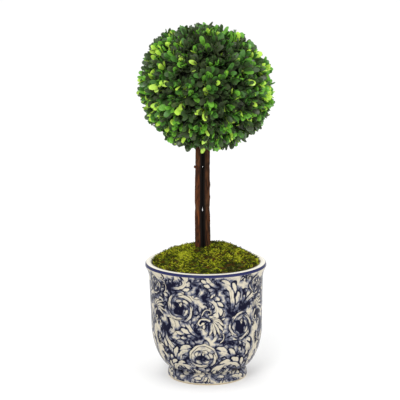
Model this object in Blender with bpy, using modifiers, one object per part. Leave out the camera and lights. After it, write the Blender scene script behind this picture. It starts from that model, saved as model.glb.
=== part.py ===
"""A potted boxwood topiary: a clipped ball of boxwood on two bare stems, in a glazed pot topped with moss.

Metres, +Z up. The origin is under the middle of the pot, on the surface it stands on, and the
front of the plant looks along -Y.
"""

import math
import random

import bmesh
import bpy
from mathutils import Matrix, Vector, noise

# Pot
POT_HEIGHT = 0.145
RIM_RADIUS = 0.075
WALL = 0.008
FOOT_RADIUS = 0.0496
FOOT_EDGE = 0.0028
FOOT_RING_WIDTH = 0.009
FOOT_RECESS = 0.0025
NECK_RADIUS = 0.0460
NECK_HEIGHT = 0.0138
BOWL_RADIUS = 0.0687
BOWL_HEIGHT = 0.062
BOWL_POWER = 1.72
WALL_TOP_RADIUS = 0.0704
FLARE_HEIGHT = 0.124
LIP_HEIGHT = 0.1405
LIP_ROUND = 0.0022
FLOOR_HEIGHT = 0.0145
POT_LEAN = 0.0023
TURNED_SIDES = 44
# How the pot's section is stepped: rings inside, outside and up the flare, crowded where it curves most
INSIDE_RINGS = 4
INSIDE_CROWD = 1.5
OUTSIDE_RINGS = 8
OUTSIDE_CROWD = 1.9
FLARE_RINGS = 4
LIP_TURNS = (90, 60, 30, 0)
LIP_EASE = 0.0009
FOOT_STEPS = (0.35, 0.7, 1.0)
# Points of the foot's rounded lower edge: how far in from the foot's radius, and how high
FOOT_ROUND = ((0.0007, 0.0008), (0.0018, 0.0))
RECESS_SLOPE = 0.001
SMOOTH_ANGLE = math.radians(35)

# Between pieces that don't touch, and between points that are one
CLEARANCE = 0.0003
MERGE = 0.00001

# What the pot holds
GROUND_HEIGHT = 0.148
GROUND_FLAT_RADIUS = 0.030
FILL_SHOULDER = 0.1265
MOSS_DOME = 0.0195
MOSS_EDGE_HEIGHT = 0.1435
MOSS_SHOULDER = 0.1375
MOSS_RADIUS = 0.0662
MOSS_POWER = 2.7
MOSS_LUMP = 0.0022
MOSS_LUMP_SIZE = 0.013
MOSS_LUMP_POWER = 4
MOSS_TUFT_AT = Vector((0.023, 0.018))
MOSS_TUFT_RADIUS = 0.016
MOSS_TUFT_HEIGHT = 0.0060
MOSS_RINGS = 9
MOSS_RING_SPREAD = 0.8

# Stems
STEM_TOP = 0.318
STEM_RINGS = 34
STEM_SEAM_X = -0.0038
STEM_GAP = 0.0004
STEM_SWAY = 0.0006
SWAY_LENGTH = 0.13
SWAY_SIDEWAYS = 0.5
SWAY_IN_DEPTH = 0.6
SEAM_SLOT = (0.0036, 0.0044)
SOCKET_DEPTH = 0.004
# Each stem's side of the seam, its radius at the ground and at its top
STEMS = {
    "stem_left": {"side": -1, "foot": 0.0048, "tip": 0.0042},
    "stem_right": {"side": 1, "foot": 0.0047, "tip": 0.0041},
}
# Heights where the two stems draw apart, how deep each draws in, and over what length
WAISTS = ((0.2116, 0.00055, 0.0036), (0.2630, 0.0003, 0.0030))
# Healed buds on the right stem: height, rise and length
BUDS = ((0.2250, 0.0006, 0.0032), (0.2410, 0.0007, 0.0036))
STUB_HEIGHT = 0.2615
STUB_LENGTH = 0.0060
STUB_ROOT = 0.001
STUB_RADII = (0.0021, 0.0015)
STUB_WAY = Vector((-1.0, -0.25, 0.35))

# Clipped ball of leaves
BALL_CENTRE = Vector((0.0, 0.0, 0.3595))
BALL_ACROSS = 0.0865
BALL_UP = 0.0800
# Where the clipping is uneven: a direction from the centre, and how far the surface stands out there
SWELLS = (
    (Vector((-0.60, 0.0, 0.80)), 0.0070),
    (Vector((0.78, 0.0, -0.63)), 0.0030),
)
SWELL_SPREAD = 0.45
CORE_DEPTH = 0.0130
SPRIGS = 95
SPRIG_TILT = math.radians(14)
TWIG_DEPTH = 0.0250
TWIG_TIP_DEPTH = 0.0115
TWIG_RADIUS = 0.0008
TWIG_TAPER = 0.55
LEAF_LENGTH = 0.0186
LEAF_WIDTH = 0.0120
LEAF_THICKNESS = 0.0009
LEAF_SIDES = 5
LEAF_ROOT_WIDTH = 0.75
LEAF_TIP_WIDTH = 1.25
LEAF_CREST = 0.08
LEAF_ROLL = math.radians(24)
LEAF_TURN = math.radians(20)
LEAF_NOD = math.radians(9)
LEAF_SIZES = (0.9, 1.1)
LEAF_CHECKS = 5
# For each pair of leaves: its root's depth under the clipped surface, its angle off the twig
# and its share of a full leaf
LEAF_PAIRS = ((0.0166, math.radians(48), 0.95), (0.0160, math.radians(24), 0.88))
TUFTS = (Vector((0.10, 0.04, 1.0)), Vector((0.17, -0.05, 0.99)))
TUFT_RISE = 0.0040
STEM_GUARD = 0.0040
SEED = 7


def smooth_share(value, low, high):
    """How far value has come from low to high, as a share from 0 to 1."""
    return min(1.0, max(0.0, (value - low) / (high - low)))


def wall_radius(z):
    """Outer radius of the pot at height z: a round bowl, a plain wall and a flare up to the lip."""
    rise = smooth_share(z, NECK_HEIGHT, BOWL_HEIGHT)
    bowl = (1 - (1 - rise) ** BOWL_POWER) ** (1 / BOWL_POWER)
    plain = smooth_share(z, BOWL_HEIGHT, FLARE_HEIGHT)
    flare = smooth_share(z, FLARE_HEIGHT, LIP_HEIGHT) ** 2
    return (
        NECK_RADIUS
        + (BOWL_RADIUS - NECK_RADIUS) * bowl
        + (WALL_TOP_RADIUS - BOWL_RADIUS) * plain
        + (RIM_RADIUS - WALL_TOP_RADIUS) * flare
    )


def heights(low, high, count, crowd=1.0):
    """Heights from low to high, crowded towards low where crowd is over 1."""
    return [low + (high - low) * (i / count) ** crowd for i in range(count + 1)]


def pot_profile():
    """Half section of the pot, from the middle of its floor over the lip to the middle of its underside."""
    inside = heights(FLOOR_HEIGHT, BOWL_HEIGHT, INSIDE_RINGS, INSIDE_CROWD)
    inside += heights(FLARE_HEIGHT, LIP_HEIGHT, FLARE_RINGS // 2)
    profile = [(0.0, FLOOR_HEIGHT)]
    profile += [(wall_radius(z) - WALL, z) for z in inside]
    profile.append((RIM_RADIUS - WALL + LIP_EASE, POT_HEIGHT))
    for turn in map(math.radians, LIP_TURNS):
        reach = RIM_RADIUS - LIP_ROUND + LIP_ROUND * math.cos(turn)
        profile.append((reach, LIP_HEIGHT + (POT_HEIGHT - LIP_HEIGHT) * math.sin(turn)))
    outside = heights(NECK_HEIGHT, BOWL_HEIGHT, OUTSIDE_RINGS, OUTSIDE_CROWD)
    outside += heights(FLARE_HEIGHT, LIP_HEIGHT, FLARE_RINGS)[:-1]
    profile += [(wall_radius(z), z) for z in reversed(outside)]
    for share in FOOT_STEPS:
        radius = NECK_RADIUS + (FOOT_RADIUS - NECK_RADIUS) * math.sin(math.pi / 2 * share)
        profile.append((radius, NECK_HEIGHT + (FOOT_EDGE - NECK_HEIGHT) * share))
    profile += [(FOOT_RADIUS - inset, z) for inset, z in FOOT_ROUND]
    ring_inside = FOOT_RADIUS - FOOT_RING_WIDTH
    profile += [(ring_inside, 0.0), (ring_inside - RECESS_SLOPE, FOOT_RECESS), (0.0, FOOT_RECESS)]
    return profile


def fill_profile():
    """Half section of what the pot is filled with, up to the flat that the stems stand on."""
    low = FLOOR_HEIGHT + CLEARANCE
    sides = [FILL_SHOULDER] + heights(low, BOWL_HEIGHT, INSIDE_RINGS, INSIDE_CROWD)[::-1]
    profile = [(0.0, GROUND_HEIGHT), (GROUND_FLAT_RADIUS, GROUND_HEIGHT)]
    # The pot's own inner facets are chords between heights, so the fill keeps two clearances off them.
    profile += [(wall_radius(z) - WALL - 2 * CLEARANCE, z) for z in sides]
    profile.append((0.0, low))
    return profile


def moss_height(x, y):
    """Height of the moss at a place: a dome with soft lumps and one taller tuft beside the stems."""
    place = Vector((x, y))
    share = min(1.0, place.length / MOSS_RADIUS)
    dome = MOSS_DOME * (1 - share**MOSS_POWER)
    lump = noise.noise(Vector((x, y, 0.0)) / MOSS_LUMP_SIZE) * MOSS_LUMP * (1 - share**MOSS_LUMP_POWER)
    near = (place - MOSS_TUFT_AT).length / MOSS_TUFT_RADIUS
    tuft = MOSS_TUFT_HEIGHT * math.exp(-near * near)
    return MOSS_EDGE_HEIGHT + dome + lump + tuft * (1 - share)


def moss_profile():
    """Half section of the moss before its lumps: the dome above, and below it the fill's own shape."""
    rise = [MOSS_RADIUS * (i / MOSS_RINGS) ** MOSS_RING_SPREAD for i in range(MOSS_RINGS + 1)]
    sides = heights(FILL_SHOULDER + 2 * CLEARANCE, MOSS_SHOULDER, 2)[::-1]
    profile = [(radius, MOSS_EDGE_HEIGHT) for radius in rise]
    profile += [(wall_radius(z) - WALL - 2 * CLEARANCE, z) for z in sides]
    profile += [(GROUND_FLAT_RADIUS, GROUND_HEIGHT + CLEARANCE), (0.0, GROUND_HEIGHT + CLEARANCE)]
    return profile


def swelling(z, height, rise, length):
    """A soft bump of this rise and length at a height."""
    return rise * math.exp(-(((z - height) / length) ** 2))


def plain_radius(stem, z):
    """A stem's radius before its waists, tapering from its foot to its tip."""
    return stem["foot"] + (stem["tip"] - stem["foot"]) * smooth_share(z, GROUND_HEIGHT, STEM_TOP)


def stem_radius(stem, z):
    return plain_radius(stem, z) - sum(swelling(z, *waist) for waist in WAISTS)


def stem_middle(stem, z):
    """A point on a stem's middle line: the two stand side by side, nearly straight, and taper together."""
    sway = STEM_SWAY * math.sin(2 * math.pi * z / SWAY_LENGTH)
    aside = stem["side"] * (plain_radius(stem, z) + STEM_GAP / 2)
    return Vector((STEM_SEAM_X + SWAY_SIDEWAYS * sway + aside, SWAY_IN_DEPTH * stem["side"] * sway, z))


def material(name, colour, roughness):
    made = bpy.data.materials.new(name)
    made.use_nodes = True
    shader = made.node_tree.nodes["Principled BSDF"]
    shader.inputs["Base Color"].default_value = (*colour, 1.0)
    shader.inputs["Roughness"].default_value = roughness
    shader.inputs["Metallic"].default_value = 0.0
    return made


def collection(name):
    made = bpy.data.collections.new(name)
    bpy.context.scene.collection.children.link(made)
    return made


def put(name, mesh, where, finish=None):
    """A new object of this mesh in a collection."""
    made = bpy.data.objects.new(name, mesh)
    where.objects.link(made)
    if finish:
        mesh.materials.clear()
        mesh.materials.append(finish)
    return made


def evaluated_mesh(obj):
    """A plain mesh of the object with its modifiers, or its curve's bevel, carried out."""
    bpy.context.view_layer.update()
    graph = bpy.context.evaluated_depsgraph_get()
    return bpy.data.meshes.new_from_object(obj.evaluated_get(graph))


def carry_out(obj):
    """Applies an object's modifiers to its mesh."""
    mesh = evaluated_mesh(obj)
    obj.modifiers.clear()
    obj.data = mesh


def shade(mesh):
    mesh.shade_smooth()
    mesh.set_sharp_from_angle(angle=SMOOTH_ANGLE)


def turned(name, profile, sides, where, finish):
    """A solid turned about Z from a half section that starts and ends on the axis."""
    mesh = bpy.data.meshes.new(name)
    points = [(radius, 0.0, z) for radius, z in profile]
    mesh.from_pydata(points, [(i, i + 1) for i in range(len(points) - 1)], [])
    made = put(name, mesh, where)
    screw = made.modifiers.new("Screw", "SCREW")
    screw.axis = "Z"
    screw.steps = sides
    screw.render_steps = sides
    screw.use_merge_vertices = True
    screw.merge_threshold = MERGE
    carry_out(made)
    made.data.materials.append(finish)
    return made


def lean(mesh):
    """Leans a turned piece as the hand-thrown pot leans: its foot to one side, its rim in the middle."""
    for vertex in mesh.vertices:
        vertex.co.x += POT_LEAN * (1 - vertex.co.z / POT_HEIGHT)


def tube(name, points, radii, where):
    """A round rod through the points, as a closed mesh."""
    curve = bpy.data.curves.new(name, "CURVE")
    curve.dimensions = "3D"
    curve.bevel_depth = 1.0
    curve.bevel_resolution = 3
    curve.use_fill_caps = True
    spline = curve.splines.new("POLY")
    spline.points.add(len(points) - 1)
    for point, place, radius in zip(spline.points, points, radii):
        point.co = (*place, 1.0)
        point.radius = radius
    guide = put(name + "_line", curve, where)
    mesh = evaluated_mesh(guide)
    bpy.data.objects.remove(guide)
    form = bmesh.new()
    form.from_mesh(mesh)
    bmesh.ops.remove_doubles(form, verts=form.verts, dist=MERGE)
    form.to_mesh(mesh)
    form.free()
    return put(name, mesh, where)


def stem_tube(name, stem, low, high, extra, where):
    """A stem, or with extra radius the space that it needs, from one height to another."""
    levels = heights(low, high, STEM_RINGS)
    points = [stem_middle(stem, z) for z in levels]
    radii = [stem_radius(stem, z) + extra for z in levels]
    return tube(name, points, radii, where)


def join_all(base, pieces, solver="EXACT"):
    """Fuses every object of a collection into base, and removes those objects."""
    union = base.modifiers.new("Union", "BOOLEAN")
    union.operation = "UNION"
    union.operand_type = "COLLECTION"
    union.collection = pieces
    union.solver = solver
    carry_out(base)
    for piece in list(pieces.objects):
        bpy.data.objects.remove(piece)
    bpy.data.collections.remove(pieces)


def cut(target, cutters, solver="EXACT"):
    """Cuts a collection's solids from the target."""
    difference = target.modifiers.new("Cut", "BOOLEAN")
    difference.operation = "DIFFERENCE"
    difference.operand_type = "COLLECTION"
    difference.collection = cutters
    difference.solver = solver


def keep_largest(mesh):
    """Drops loose scraps and sealed hollows, which a union can leave, and keeps the one outer body."""
    form = bmesh.new()
    form.from_mesh(mesh)
    left = set(form.faces)
    bodies = []
    while left:
        body = {left.pop()}
        edge_of = list(body)
        while edge_of:
            face = edge_of.pop()
            beside = {other for edge in face.edges for other in edge.link_faces}
            fresh = beside & left
            left -= fresh
            body |= fresh
            edge_of.extend(fresh)
        bodies.append(body)
    bodies.sort(key=len)
    scraps = [face for body in bodies[:-1] for face in body]
    bmesh.ops.delete(form, geom=scraps, context="FACES")
    form.to_mesh(mesh)
    form.free()


def swell(mesh, stem):
    """Raises the healed buds on the side of a stem that looks away from the seam."""
    for vertex in mesh.vertices:
        middle = stem_middle(stem, vertex.co.z)
        out = (vertex.co - middle).normalized()
        facing_side = max(0.0, out.x * stem["side"]) ** 2
        vertex.co += out * facing_side * sum(swelling(vertex.co.z, *bud) for bud in BUDS)


def make_stems(where, bark):
    """Two bare stems side by side, the left one with the stub of a cut twig."""
    for name, stem in STEMS.items():
        made = stem_tube(name, stem, GROUND_HEIGHT + CLEARANCE, STEM_TOP, 0.0, where)
        if name == "stem_right":
            swell(made.data, stem)
        if name == "stem_left":
            stubs = collection("stubs")
            out = STUB_WAY.normalized()
            start = stem_middle(stem, STUB_HEIGHT) + out * STUB_ROOT
            tube("stub", [start, start + out * STUB_LENGTH], STUB_RADII, stubs)
            join_all(made, stubs)
        made.data.materials.clear()
        made.data.materials.append(bark)
        shade(made.data)


def stem_space(where):
    """Cutters that leave room for the stems in the moss and the ball, with a slot that joins both holes."""
    low = GROUND_HEIGHT - SOCKET_DEPTH
    high = STEM_TOP + CLEARANCE
    for name, stem in STEMS.items():
        stem_tube("space_" + name, stem, low, high, CLEARANCE, where)
    form = bmesh.new()
    bmesh.ops.create_cube(form, size=1.0)
    middle = Matrix.Translation((STEM_SEAM_X, 0.0, (low + high) / 2))
    slot = middle @ Matrix.Diagonal((*SEAM_SLOT, high - low, 1.0))
    bmesh.ops.transform(form, matrix=slot, verts=form.verts)
    mesh = bpy.data.meshes.new("space_between")
    form.to_mesh(mesh)
    form.free()
    put("space_between", mesh, where)
    for space in where.objects:
        space.hide_render = True
        space.display_type = "WIRE"


def leaf_mesh():
    """A boxwood leaf of unit length along +Y, blunt at the tip and narrow at the root."""
    form = bmesh.new()
    bmesh.ops.create_uvsphere(form, u_segments=LEAF_SIDES, v_segments=2, radius=0.5)
    turn = Matrix.Rotation(math.radians(-90), 4, "Z")
    bmesh.ops.transform(form, matrix=turn, verts=form.verts)
    low = min(vertex.co.y for vertex in form.verts)
    high = max(vertex.co.y for vertex in form.verts)
    for vertex in form.verts:
        along = (vertex.co.y - low) / (high - low)
        vertex.co.x *= LEAF_ROOT_WIDTH + (LEAF_TIP_WIDTH - LEAF_ROOT_WIDTH) * along
        vertex.co.y = along + LEAF_CREST * 2 * abs(vertex.co.z)
    mesh = bpy.data.meshes.new("leaf")
    form.to_mesh(mesh)
    form.free()
    return mesh


def twig_mesh():
    """A three-sided twig of unit length along +Y, slimmer at its tip."""
    form = bmesh.new()
    bmesh.ops.create_cone(form, cap_ends=True, segments=3, radius1=1.0, radius2=TWIG_TAPER, depth=1.0)
    onto_y = Matrix.Rotation(math.radians(-90), 4, "X") @ Matrix.Translation((0, 0, 0.5))
    bmesh.ops.transform(form, matrix=onto_y, verts=form.verts)
    mesh = bpy.data.meshes.new("twig")
    form.to_mesh(mesh)
    form.free()
    return mesh


def even_directions(count):
    """Directions spread evenly over a sphere along one golden spiral."""
    golden = math.pi * (3 - math.sqrt(5))
    found = []
    for i in range(count):
        z = 1 - 2 * (i + 0.5) / count
        ring = math.sqrt(1 - z * z)
        found.append(Vector((ring * math.cos(golden * i), ring * math.sin(golden * i), z)))
    return found


def facing(axis, towards):
    """A rotation with Y along the axis and Z as nearly as it can towards the other direction."""
    side = axis.cross(towards).normalized()
    up = side.cross(axis)
    return Matrix((side, axis, up)).transposed().to_4x4()


def touches_stem(point):
    for stem in STEMS.values():
        middle = stem_middle(stem, point.z)
        if (point - middle).length < stem_radius(stem, point.z) + STEM_GUARD:
            return point.z < STEM_TOP + STEM_GUARD
    return False


def ball_reach(direction):
    """Distance from the ball's centre to its clipped surface: wider than tall, and a little uneven."""
    round_reach = 1 / math.hypot(direction.x / BALL_ACROSS, direction.y / BALL_ACROSS, direction.z / BALL_UP)
    uneven = sum(swelling(direction.angle(way), 0.0, rise, SWELL_SPREAD) for way, rise in SWELLS)
    return round_reach + uneven


def outside(point, rise):
    """Whether a point lies beyond the clipped surface, raised here by rise."""
    offset = point - BALL_CENTRE
    return offset.length > ball_reach(offset.normalized()) + rise


def sprig(direction, rise, rng):
    """One sprig that stands out of the core: a twig with leaves in opposite pairs, each turned from the last.

    It returns the twig's placement, and those of the leaves that stay in the ball's space and off the stems.
    """
    side = direction.orthogonal().normalized()
    side = Matrix.Rotation(rng.uniform(0, 2 * math.pi), 3, direction) @ side
    tilt = Matrix.Rotation(rng.uniform(-1, 1) * SPRIG_TILT, 3, side)
    axis = tilt @ direction
    surface = ball_reach(direction)
    root = BALL_CENTRE + direction * (surface - TWIG_DEPTH)
    length = TWIG_DEPTH - TWIG_TIP_DEPTH + rise
    leaves = []
    for pair, (depth, angle, share) in enumerate(LEAF_PAIRS):
        start = root + axis * (TWIG_DEPTH - depth + rise * (pair + 1) / len(LEAF_PAIRS))
        for half in (0, 1):
            around = math.radians(90 * pair + 180 * half) + rng.uniform(-1, 1) * LEAF_TURN
            out = Matrix.Rotation(around, 3, axis) @ side
            lean_out = angle + rng.uniform(-1, 1) * LEAF_NOD
            along = (axis * math.cos(lean_out) + out * math.sin(lean_out)).normalized()
            size = LEAF_LENGTH * share * rng.uniform(*LEAF_SIZES)
            roll = Matrix.Rotation(rng.uniform(-1, 1) * LEAF_ROLL, 4, "Y")
            points = [start + along * size * i / (LEAF_CHECKS - 1) for i in range(LEAF_CHECKS)]
            if outside(points[-1], rise) or any(map(touches_stem, points)):
                continue
            scale = Matrix.Diagonal((LEAF_WIDTH * size / LEAF_LENGTH, size, LEAF_THICKNESS, 1.0))
            leaves.append(Matrix.Translation(start) @ facing(along, axis) @ roll @ scale)
    twig = Matrix.Translation(root) @ facing(axis, side)
    twig = twig @ Matrix.Diagonal((TWIG_RADIUS, length, TWIG_RADIUS, 1.0))
    return twig, leaves


def core_mesh():
    """The dense inside of the ball, which the sprigs stand out of."""
    form = bmesh.new()
    bmesh.ops.create_icosphere(form, subdivisions=3, radius=1.0)
    for vertex in form.verts:
        direction = vertex.co.normalized()
        vertex.co = BALL_CENTRE + direction * (ball_reach(direction) - CORE_DEPTH)
    mesh = bpy.data.meshes.new("boxwood_ball")
    form.to_mesh(mesh)
    form.free()
    return mesh


def make_ball(where, leaf_finish, cutters):
    """The clipped ball: sprigs all round a smaller core, fused into one body with sockets for the stems."""
    rng = random.Random(SEED)
    ball = put("boxwood_ball", core_mesh(), where)
    sprigs = collection("sprigs")
    leaf, twig = leaf_mesh(), twig_mesh()
    stands = [(direction, 0.0) for direction in even_directions(SPRIGS)]
    stands += [(direction.normalized(), TUFT_RISE) for direction in TUFTS]
    for direction, rise in stands:
        twig_place, leaf_places = sprig(direction, rise, rng)
        if not leaf_places:
            continue
        put("twig", twig, sprigs).matrix_world = twig_place
        for place in leaf_places:
            put("leaf", leaf, sprigs).matrix_world = place
    join_all(ball, sprigs, "MANIFOLD")
    keep_largest(ball.data)
    ball.data.materials.clear()
    ball.data.materials.append(leaf_finish)
    cut(ball, cutters)


def make_moss(where, finish, cutters):
    moss = turned("moss", moss_profile(), TURNED_SIDES, where, finish)
    for vertex in moss.data.vertices:
        if abs(vertex.co.z - MOSS_EDGE_HEIGHT) < MERGE:
            vertex.co.z = moss_height(vertex.co.x, vertex.co.y)
    lean(moss.data)
    shade(moss.data)
    cut(moss, cutters)


def main():
    for obj in list(bpy.data.objects):
        bpy.data.objects.remove(obj)
    topiary = collection("potted_boxwood_topiary")
    cutters = collection("cutters")
    cutters.hide_render = True

    glaze = material("glazed_ceramic", (0.42, 0.42, 0.46), 0.16)
    earth = material("planting_fill", (0.08, 0.05, 0.03), 0.9)
    moss = material("moss", (0.11, 0.13, 0.01), 0.9)
    bark = material("bark", (0.07, 0.025, 0.01), 0.7)
    leaves = material("boxwood_leaves", (0.035, 0.10, 0.015), 0.35)

    pot = turned("pot", pot_profile(), TURNED_SIDES, topiary, glaze)
    fill = turned("planting_fill", fill_profile(), TURNED_SIDES, topiary, earth)
    for piece in (pot, fill):
        lean(piece.data)
        shade(piece.data)
    stem_space(cutters)
    make_stems(topiary, bark)
    make_moss(topiary, moss, cutters)
    make_ball(topiary, leaves, cutters)


main()
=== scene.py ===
"""The looks of the potted boxwood topiary, built round its solids.

Metres, +Z up, front along -Y. The clipped ball, the two stems, the moss and the pot are each
replaced by finer meshes in the same space, and the planting under the moss gets its material.
"""

import math
import random

import bpy
import numpy as np
from mathutils import Matrix, Vector, noise


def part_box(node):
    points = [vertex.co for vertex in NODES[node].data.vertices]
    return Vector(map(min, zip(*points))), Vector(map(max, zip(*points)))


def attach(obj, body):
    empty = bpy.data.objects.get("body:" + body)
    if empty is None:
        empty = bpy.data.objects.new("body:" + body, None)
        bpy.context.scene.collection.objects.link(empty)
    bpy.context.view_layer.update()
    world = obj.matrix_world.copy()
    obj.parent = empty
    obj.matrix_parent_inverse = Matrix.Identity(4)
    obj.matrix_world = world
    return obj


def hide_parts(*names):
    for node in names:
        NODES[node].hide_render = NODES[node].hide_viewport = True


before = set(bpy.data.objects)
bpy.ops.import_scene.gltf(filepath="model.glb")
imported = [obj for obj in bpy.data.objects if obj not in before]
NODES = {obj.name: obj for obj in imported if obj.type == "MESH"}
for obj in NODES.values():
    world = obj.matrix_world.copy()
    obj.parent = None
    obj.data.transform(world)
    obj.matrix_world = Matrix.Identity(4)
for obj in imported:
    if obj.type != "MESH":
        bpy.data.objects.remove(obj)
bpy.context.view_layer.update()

SEED = 11
# A full turn's golden part, which spreads petals, sprigs and fronds evenly
GOLDEN_TURN = math.pi * (3 - math.sqrt(5))

# Pot, as in the part's source
POT_LOW, POT_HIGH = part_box("pot")
POT_HEIGHT = POT_HIGH[2]
RIM_RADIUS = (POT_HIGH[1] - POT_LOW[1]) / 2
WALL = 0.008
FOOT_RADIUS = 0.0496
FOOT_EDGE = 0.0028
FOOT_RING_WIDTH = 0.009
FOOT_RECESS = 0.0025
NECK_RADIUS = 0.0460
NECK_HEIGHT = 0.0138
BOWL_RADIUS = 0.0687
BOWL_HEIGHT = 0.062
BOWL_POWER = 1.72
WALL_TOP_RADIUS = 0.0704
FLARE_HEIGHT = 0.124
LIP_HEIGHT = 0.1405
LIP_ROUND = 0.0022
FLOOR_HEIGHT = 0.0145
POT_LEAN = 0.0023
CLAY_HEIGHT = 0.0013
# How the pot's section is stepped inside, over the lip, down the wall and over the foot
INSIDE_STEPS = 9
LIP_STEPS = 8
WALL_STEPS = 400
FOOT_STEPS = 24
# The lip's crown: how far out from its inner edge, as shares of its round, and how far it falls inwards
CROWN = (0.15, 0.6, 1.2)
CROWN_FALL = 0.12
# Points of the foot's rounded lower edge: how far in from the foot's radius, and how high
FOOT_ROUND = ((0.0003, 0.0016), (0.0008, 0.0006), (0.0018, 0.0), (0.0048, 0.0))
RECESS_SLOPE = 0.001
MIDDLE_RADIUS = 0.00002

# The pot's mesh: three equal sectors of print round it, a step up the wall, and the pieces it is cut into
PRINT_SECTORS = 3
SECTOR_COLUMNS = 236
WALL_STEP = 0.00062
POT_PIECES = ("pot_front", "pot_right", "pot_left")

# Where the two stems meet, as in the part's source
STEM_SEAM_X = -0.0038

# Moss, as in the part's source
MOSS_DOME = 0.0195
MOSS_EDGE_HEIGHT = 0.1435
MOSS_RADIUS = 0.0662
MOSS_POWER = 2.7
MOSS_LUMP = 0.0022
MOSS_LUMP_SIZE = 0.013
MOSS_LUMP_POWER = 4
MOSS_TUFT_AT = Vector((0.023, 0.018))
MOSS_TUFT_RADIUS = 0.016
MOSS_TUFT_HEIGHT = 0.0060
MOSS_SHOULDER = 0.1375
MOSS_RINGS = 96
MOSS_COLUMNS = 220
# How the moss varies in tone: its patches' sizes and strengths, each frond's own scatter, and the shade near
# the pot
MOSS_PATCHES = ((0.014, 0.9), (0.0040, 0.5))
MOSS_TONE_SCATTER = 0.85
MOSS_RIM_SHADE = 0.3
MOSS_RIM_START = 0.75
# Painted shade on the moss, round the stems' foot and in other patches: each patch's middle, how much darker
# it is, and its spread
MOSS_PAINTED_SHADE = (
    (Vector((STEM_SEAM_X, 0.0)), 1.0, 0.009),
    (Vector((0.014, -0.008)), 0.7, 0.010),
    (Vector((0.010, 0.012)), 0.9, 0.007),
    (Vector((0.026, -0.046)), 0.6, 0.013),
    (Vector((-0.050, -0.020)), 0.35, 0.011),
    (Vector((-0.020, 0.040)), 0.5, 0.012),
    (Vector((0.050, 0.020)), 0.5, 0.013),
)
MOSS_TINT_LIMITS = (("moss_fronds_deep", -0.62), ("moss_fronds_olive", -0.12), ("moss_fronds_green", 0.34))
# Dry spots: how wide they are, how many there are, and how bright a frond may be and still be dry
MOSS_DRY_SIZE = Vector((0.0060, 0.0030))
MOSS_DRY_FROM = 0.28
MOSS_DRY_TONE = 0.34
MOSS_FRONDS = 9000
MOSS_SCATTER = 0.0011
# Small clumps on the matted moss: how wide each kind is, and how high; and the noise's first layers for the
# clumps and for the tones
MOSS_CLUMPS = ((0.0042, 0.0008), (0.0013, 0.0004))
CLUMP_LAYER = 0.5
TONE_LAYER = 4.0
MOSS_BED_DROP = 0.0008
FROND_LENGTH = 0.0046
FROND_WIDTH = 0.0007
LEAFLET_LENGTH = 0.0016
FROND_MARGIN = 0.0016
# How far apart two places are taken to find the moss's slope
SLOPE_STEP = 0.001
# The least and most that a frond varies in size, in lean from upright and in bend, and how much one near the
# pot turns inwards and up
FROND_SIZES = (0.6, 1.15)
FROND_LEANS = (0.85, 1.45)
FROND_BENDS = (-0.35, 0.25)
FROND_TURN_IN = 0.5
# A frond's sections: how far along each stands, and its share of the width
FROND_SECTIONS = ((0.0, 1.0), (0.55, 0.75))
# Its leaflets: where they stand, their size at its root and how it falls, the three corners of each one's
# root as shares of the frond's length along and up, and its tip as shares of its size, and its height
LEAFLET_PLACES = (0.22, 0.42, 0.62, 0.80)
LEAFLET_SIZES = (1.15, 0.6)
LEAFLET_ROOT = ((-0.05, 0.0), (0.07, 0.0), (0.0, 0.045))
LEAFLET_TIP = (0.8, 0.75, 0.02)
LEAFLET_FACES = ((0, 1, 2), (0, 3, 1), (1, 3, 2), (2, 3, 0))

# Stems, as in the part's source
GROUND_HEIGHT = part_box("stem_left")[0][2]
STEM_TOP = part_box("stem_left")[1][2]
STEM_GAP = 0.0004
STEM_SWAY = 0.0006
SWAY_LENGTH = 0.13
SWAY_SIDEWAYS = 0.5
SWAY_IN_DEPTH = 0.6
# Each stem's side, its radius at its foot and its tip, and its bark's own part of the noise
STEMS = {
    "stem_left": {"side": -1, "foot": 0.0048, "tip": 0.0042, "bark": 0.0},
    "stem_right": {"side": 1, "foot": 0.0047, "tip": 0.0041, "bark": 7.3},
}
# Where the stems are waisted and budded: how high up, how much and over what length
WAISTS = ((0.2116, 0.00055, 0.0036), (0.2630, 0.0003, 0.0030))
BUDS = ((0.2250, 0.0006, 0.0032), (0.2410, 0.0007, 0.0036))
STUB_HEIGHT = 0.2615
STUB_RADIUS = 0.0015
STUB_COLUMNS = 14
STUB_WAY = Vector((-1.0, -0.25, 0.35))
# The stub's sections: how far out each stands, and its share of the radius; then its end, how deep and how
# often it is knobbly round it and along it, and how dark its bark and its cut end are
STUB_SECTIONS = ((0.001, 1.5), (0.0045, 1.25), (0.0052, 1.05), (0.0059, 1.0), (0.0062, 0.92))
STUB_END = 0.0061
STUB_KNOBS = (0.08, 3, 900)
STUB_CRACK = 0.15
STUB_END_CRACK = 0.4
BARK_RINGS = 240
BARK_COLUMNS = 56
BARK_DEPTH = 0.00038
BARK_RAISED = 0.35
# The bark's long cracks and small scales: how wide and how long each are, how wide a crack opens, and how
# strongly each tells
LONG_CRACKS = (0.0016, 0.017)
SMALL_SCALES = (0.0011, 0.0042)
CRACK_WIDTH = 0.20
CRACK_SHARE = 0.75
SCALE_SHARE = 0.5
# The bark closes the seam between the stems, but for two chinks at these heights with these lengths
SEAM_BARK = 0.0006
# Painted shade on the bark that faces the seam: where it starts and where it is full, as a share of how
# squarely the bark faces it
SEAM_SHADE = (0.05, 0.48)
CHINKS = ((0.2630, 0.0006), (0.2090, 0.0014))

# Clipped ball, as in the part's source
BALL_CENTRE = Vector((0.0, 0.0, 0.3595))
BALL_ACROSS = 0.0865
BALL_UP = 0.0800
SWELLS = (
    (Vector((-0.60, 0.0, 0.80)), 0.0070),
    (Vector((0.78, 0.0, -0.63)), 0.0030),
)
SWELL_SPREAD = 0.45
CORE_DEPTH = 0.0250
SPRIGS = 640
SPRIG_TILT = math.radians(20)
SPRIG_SCATTER = 0.10
SHORTER_SPRIG = 0.0055
LEAF_LENGTH = 0.0176
LEAF_WIDTH = 0.0070
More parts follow.
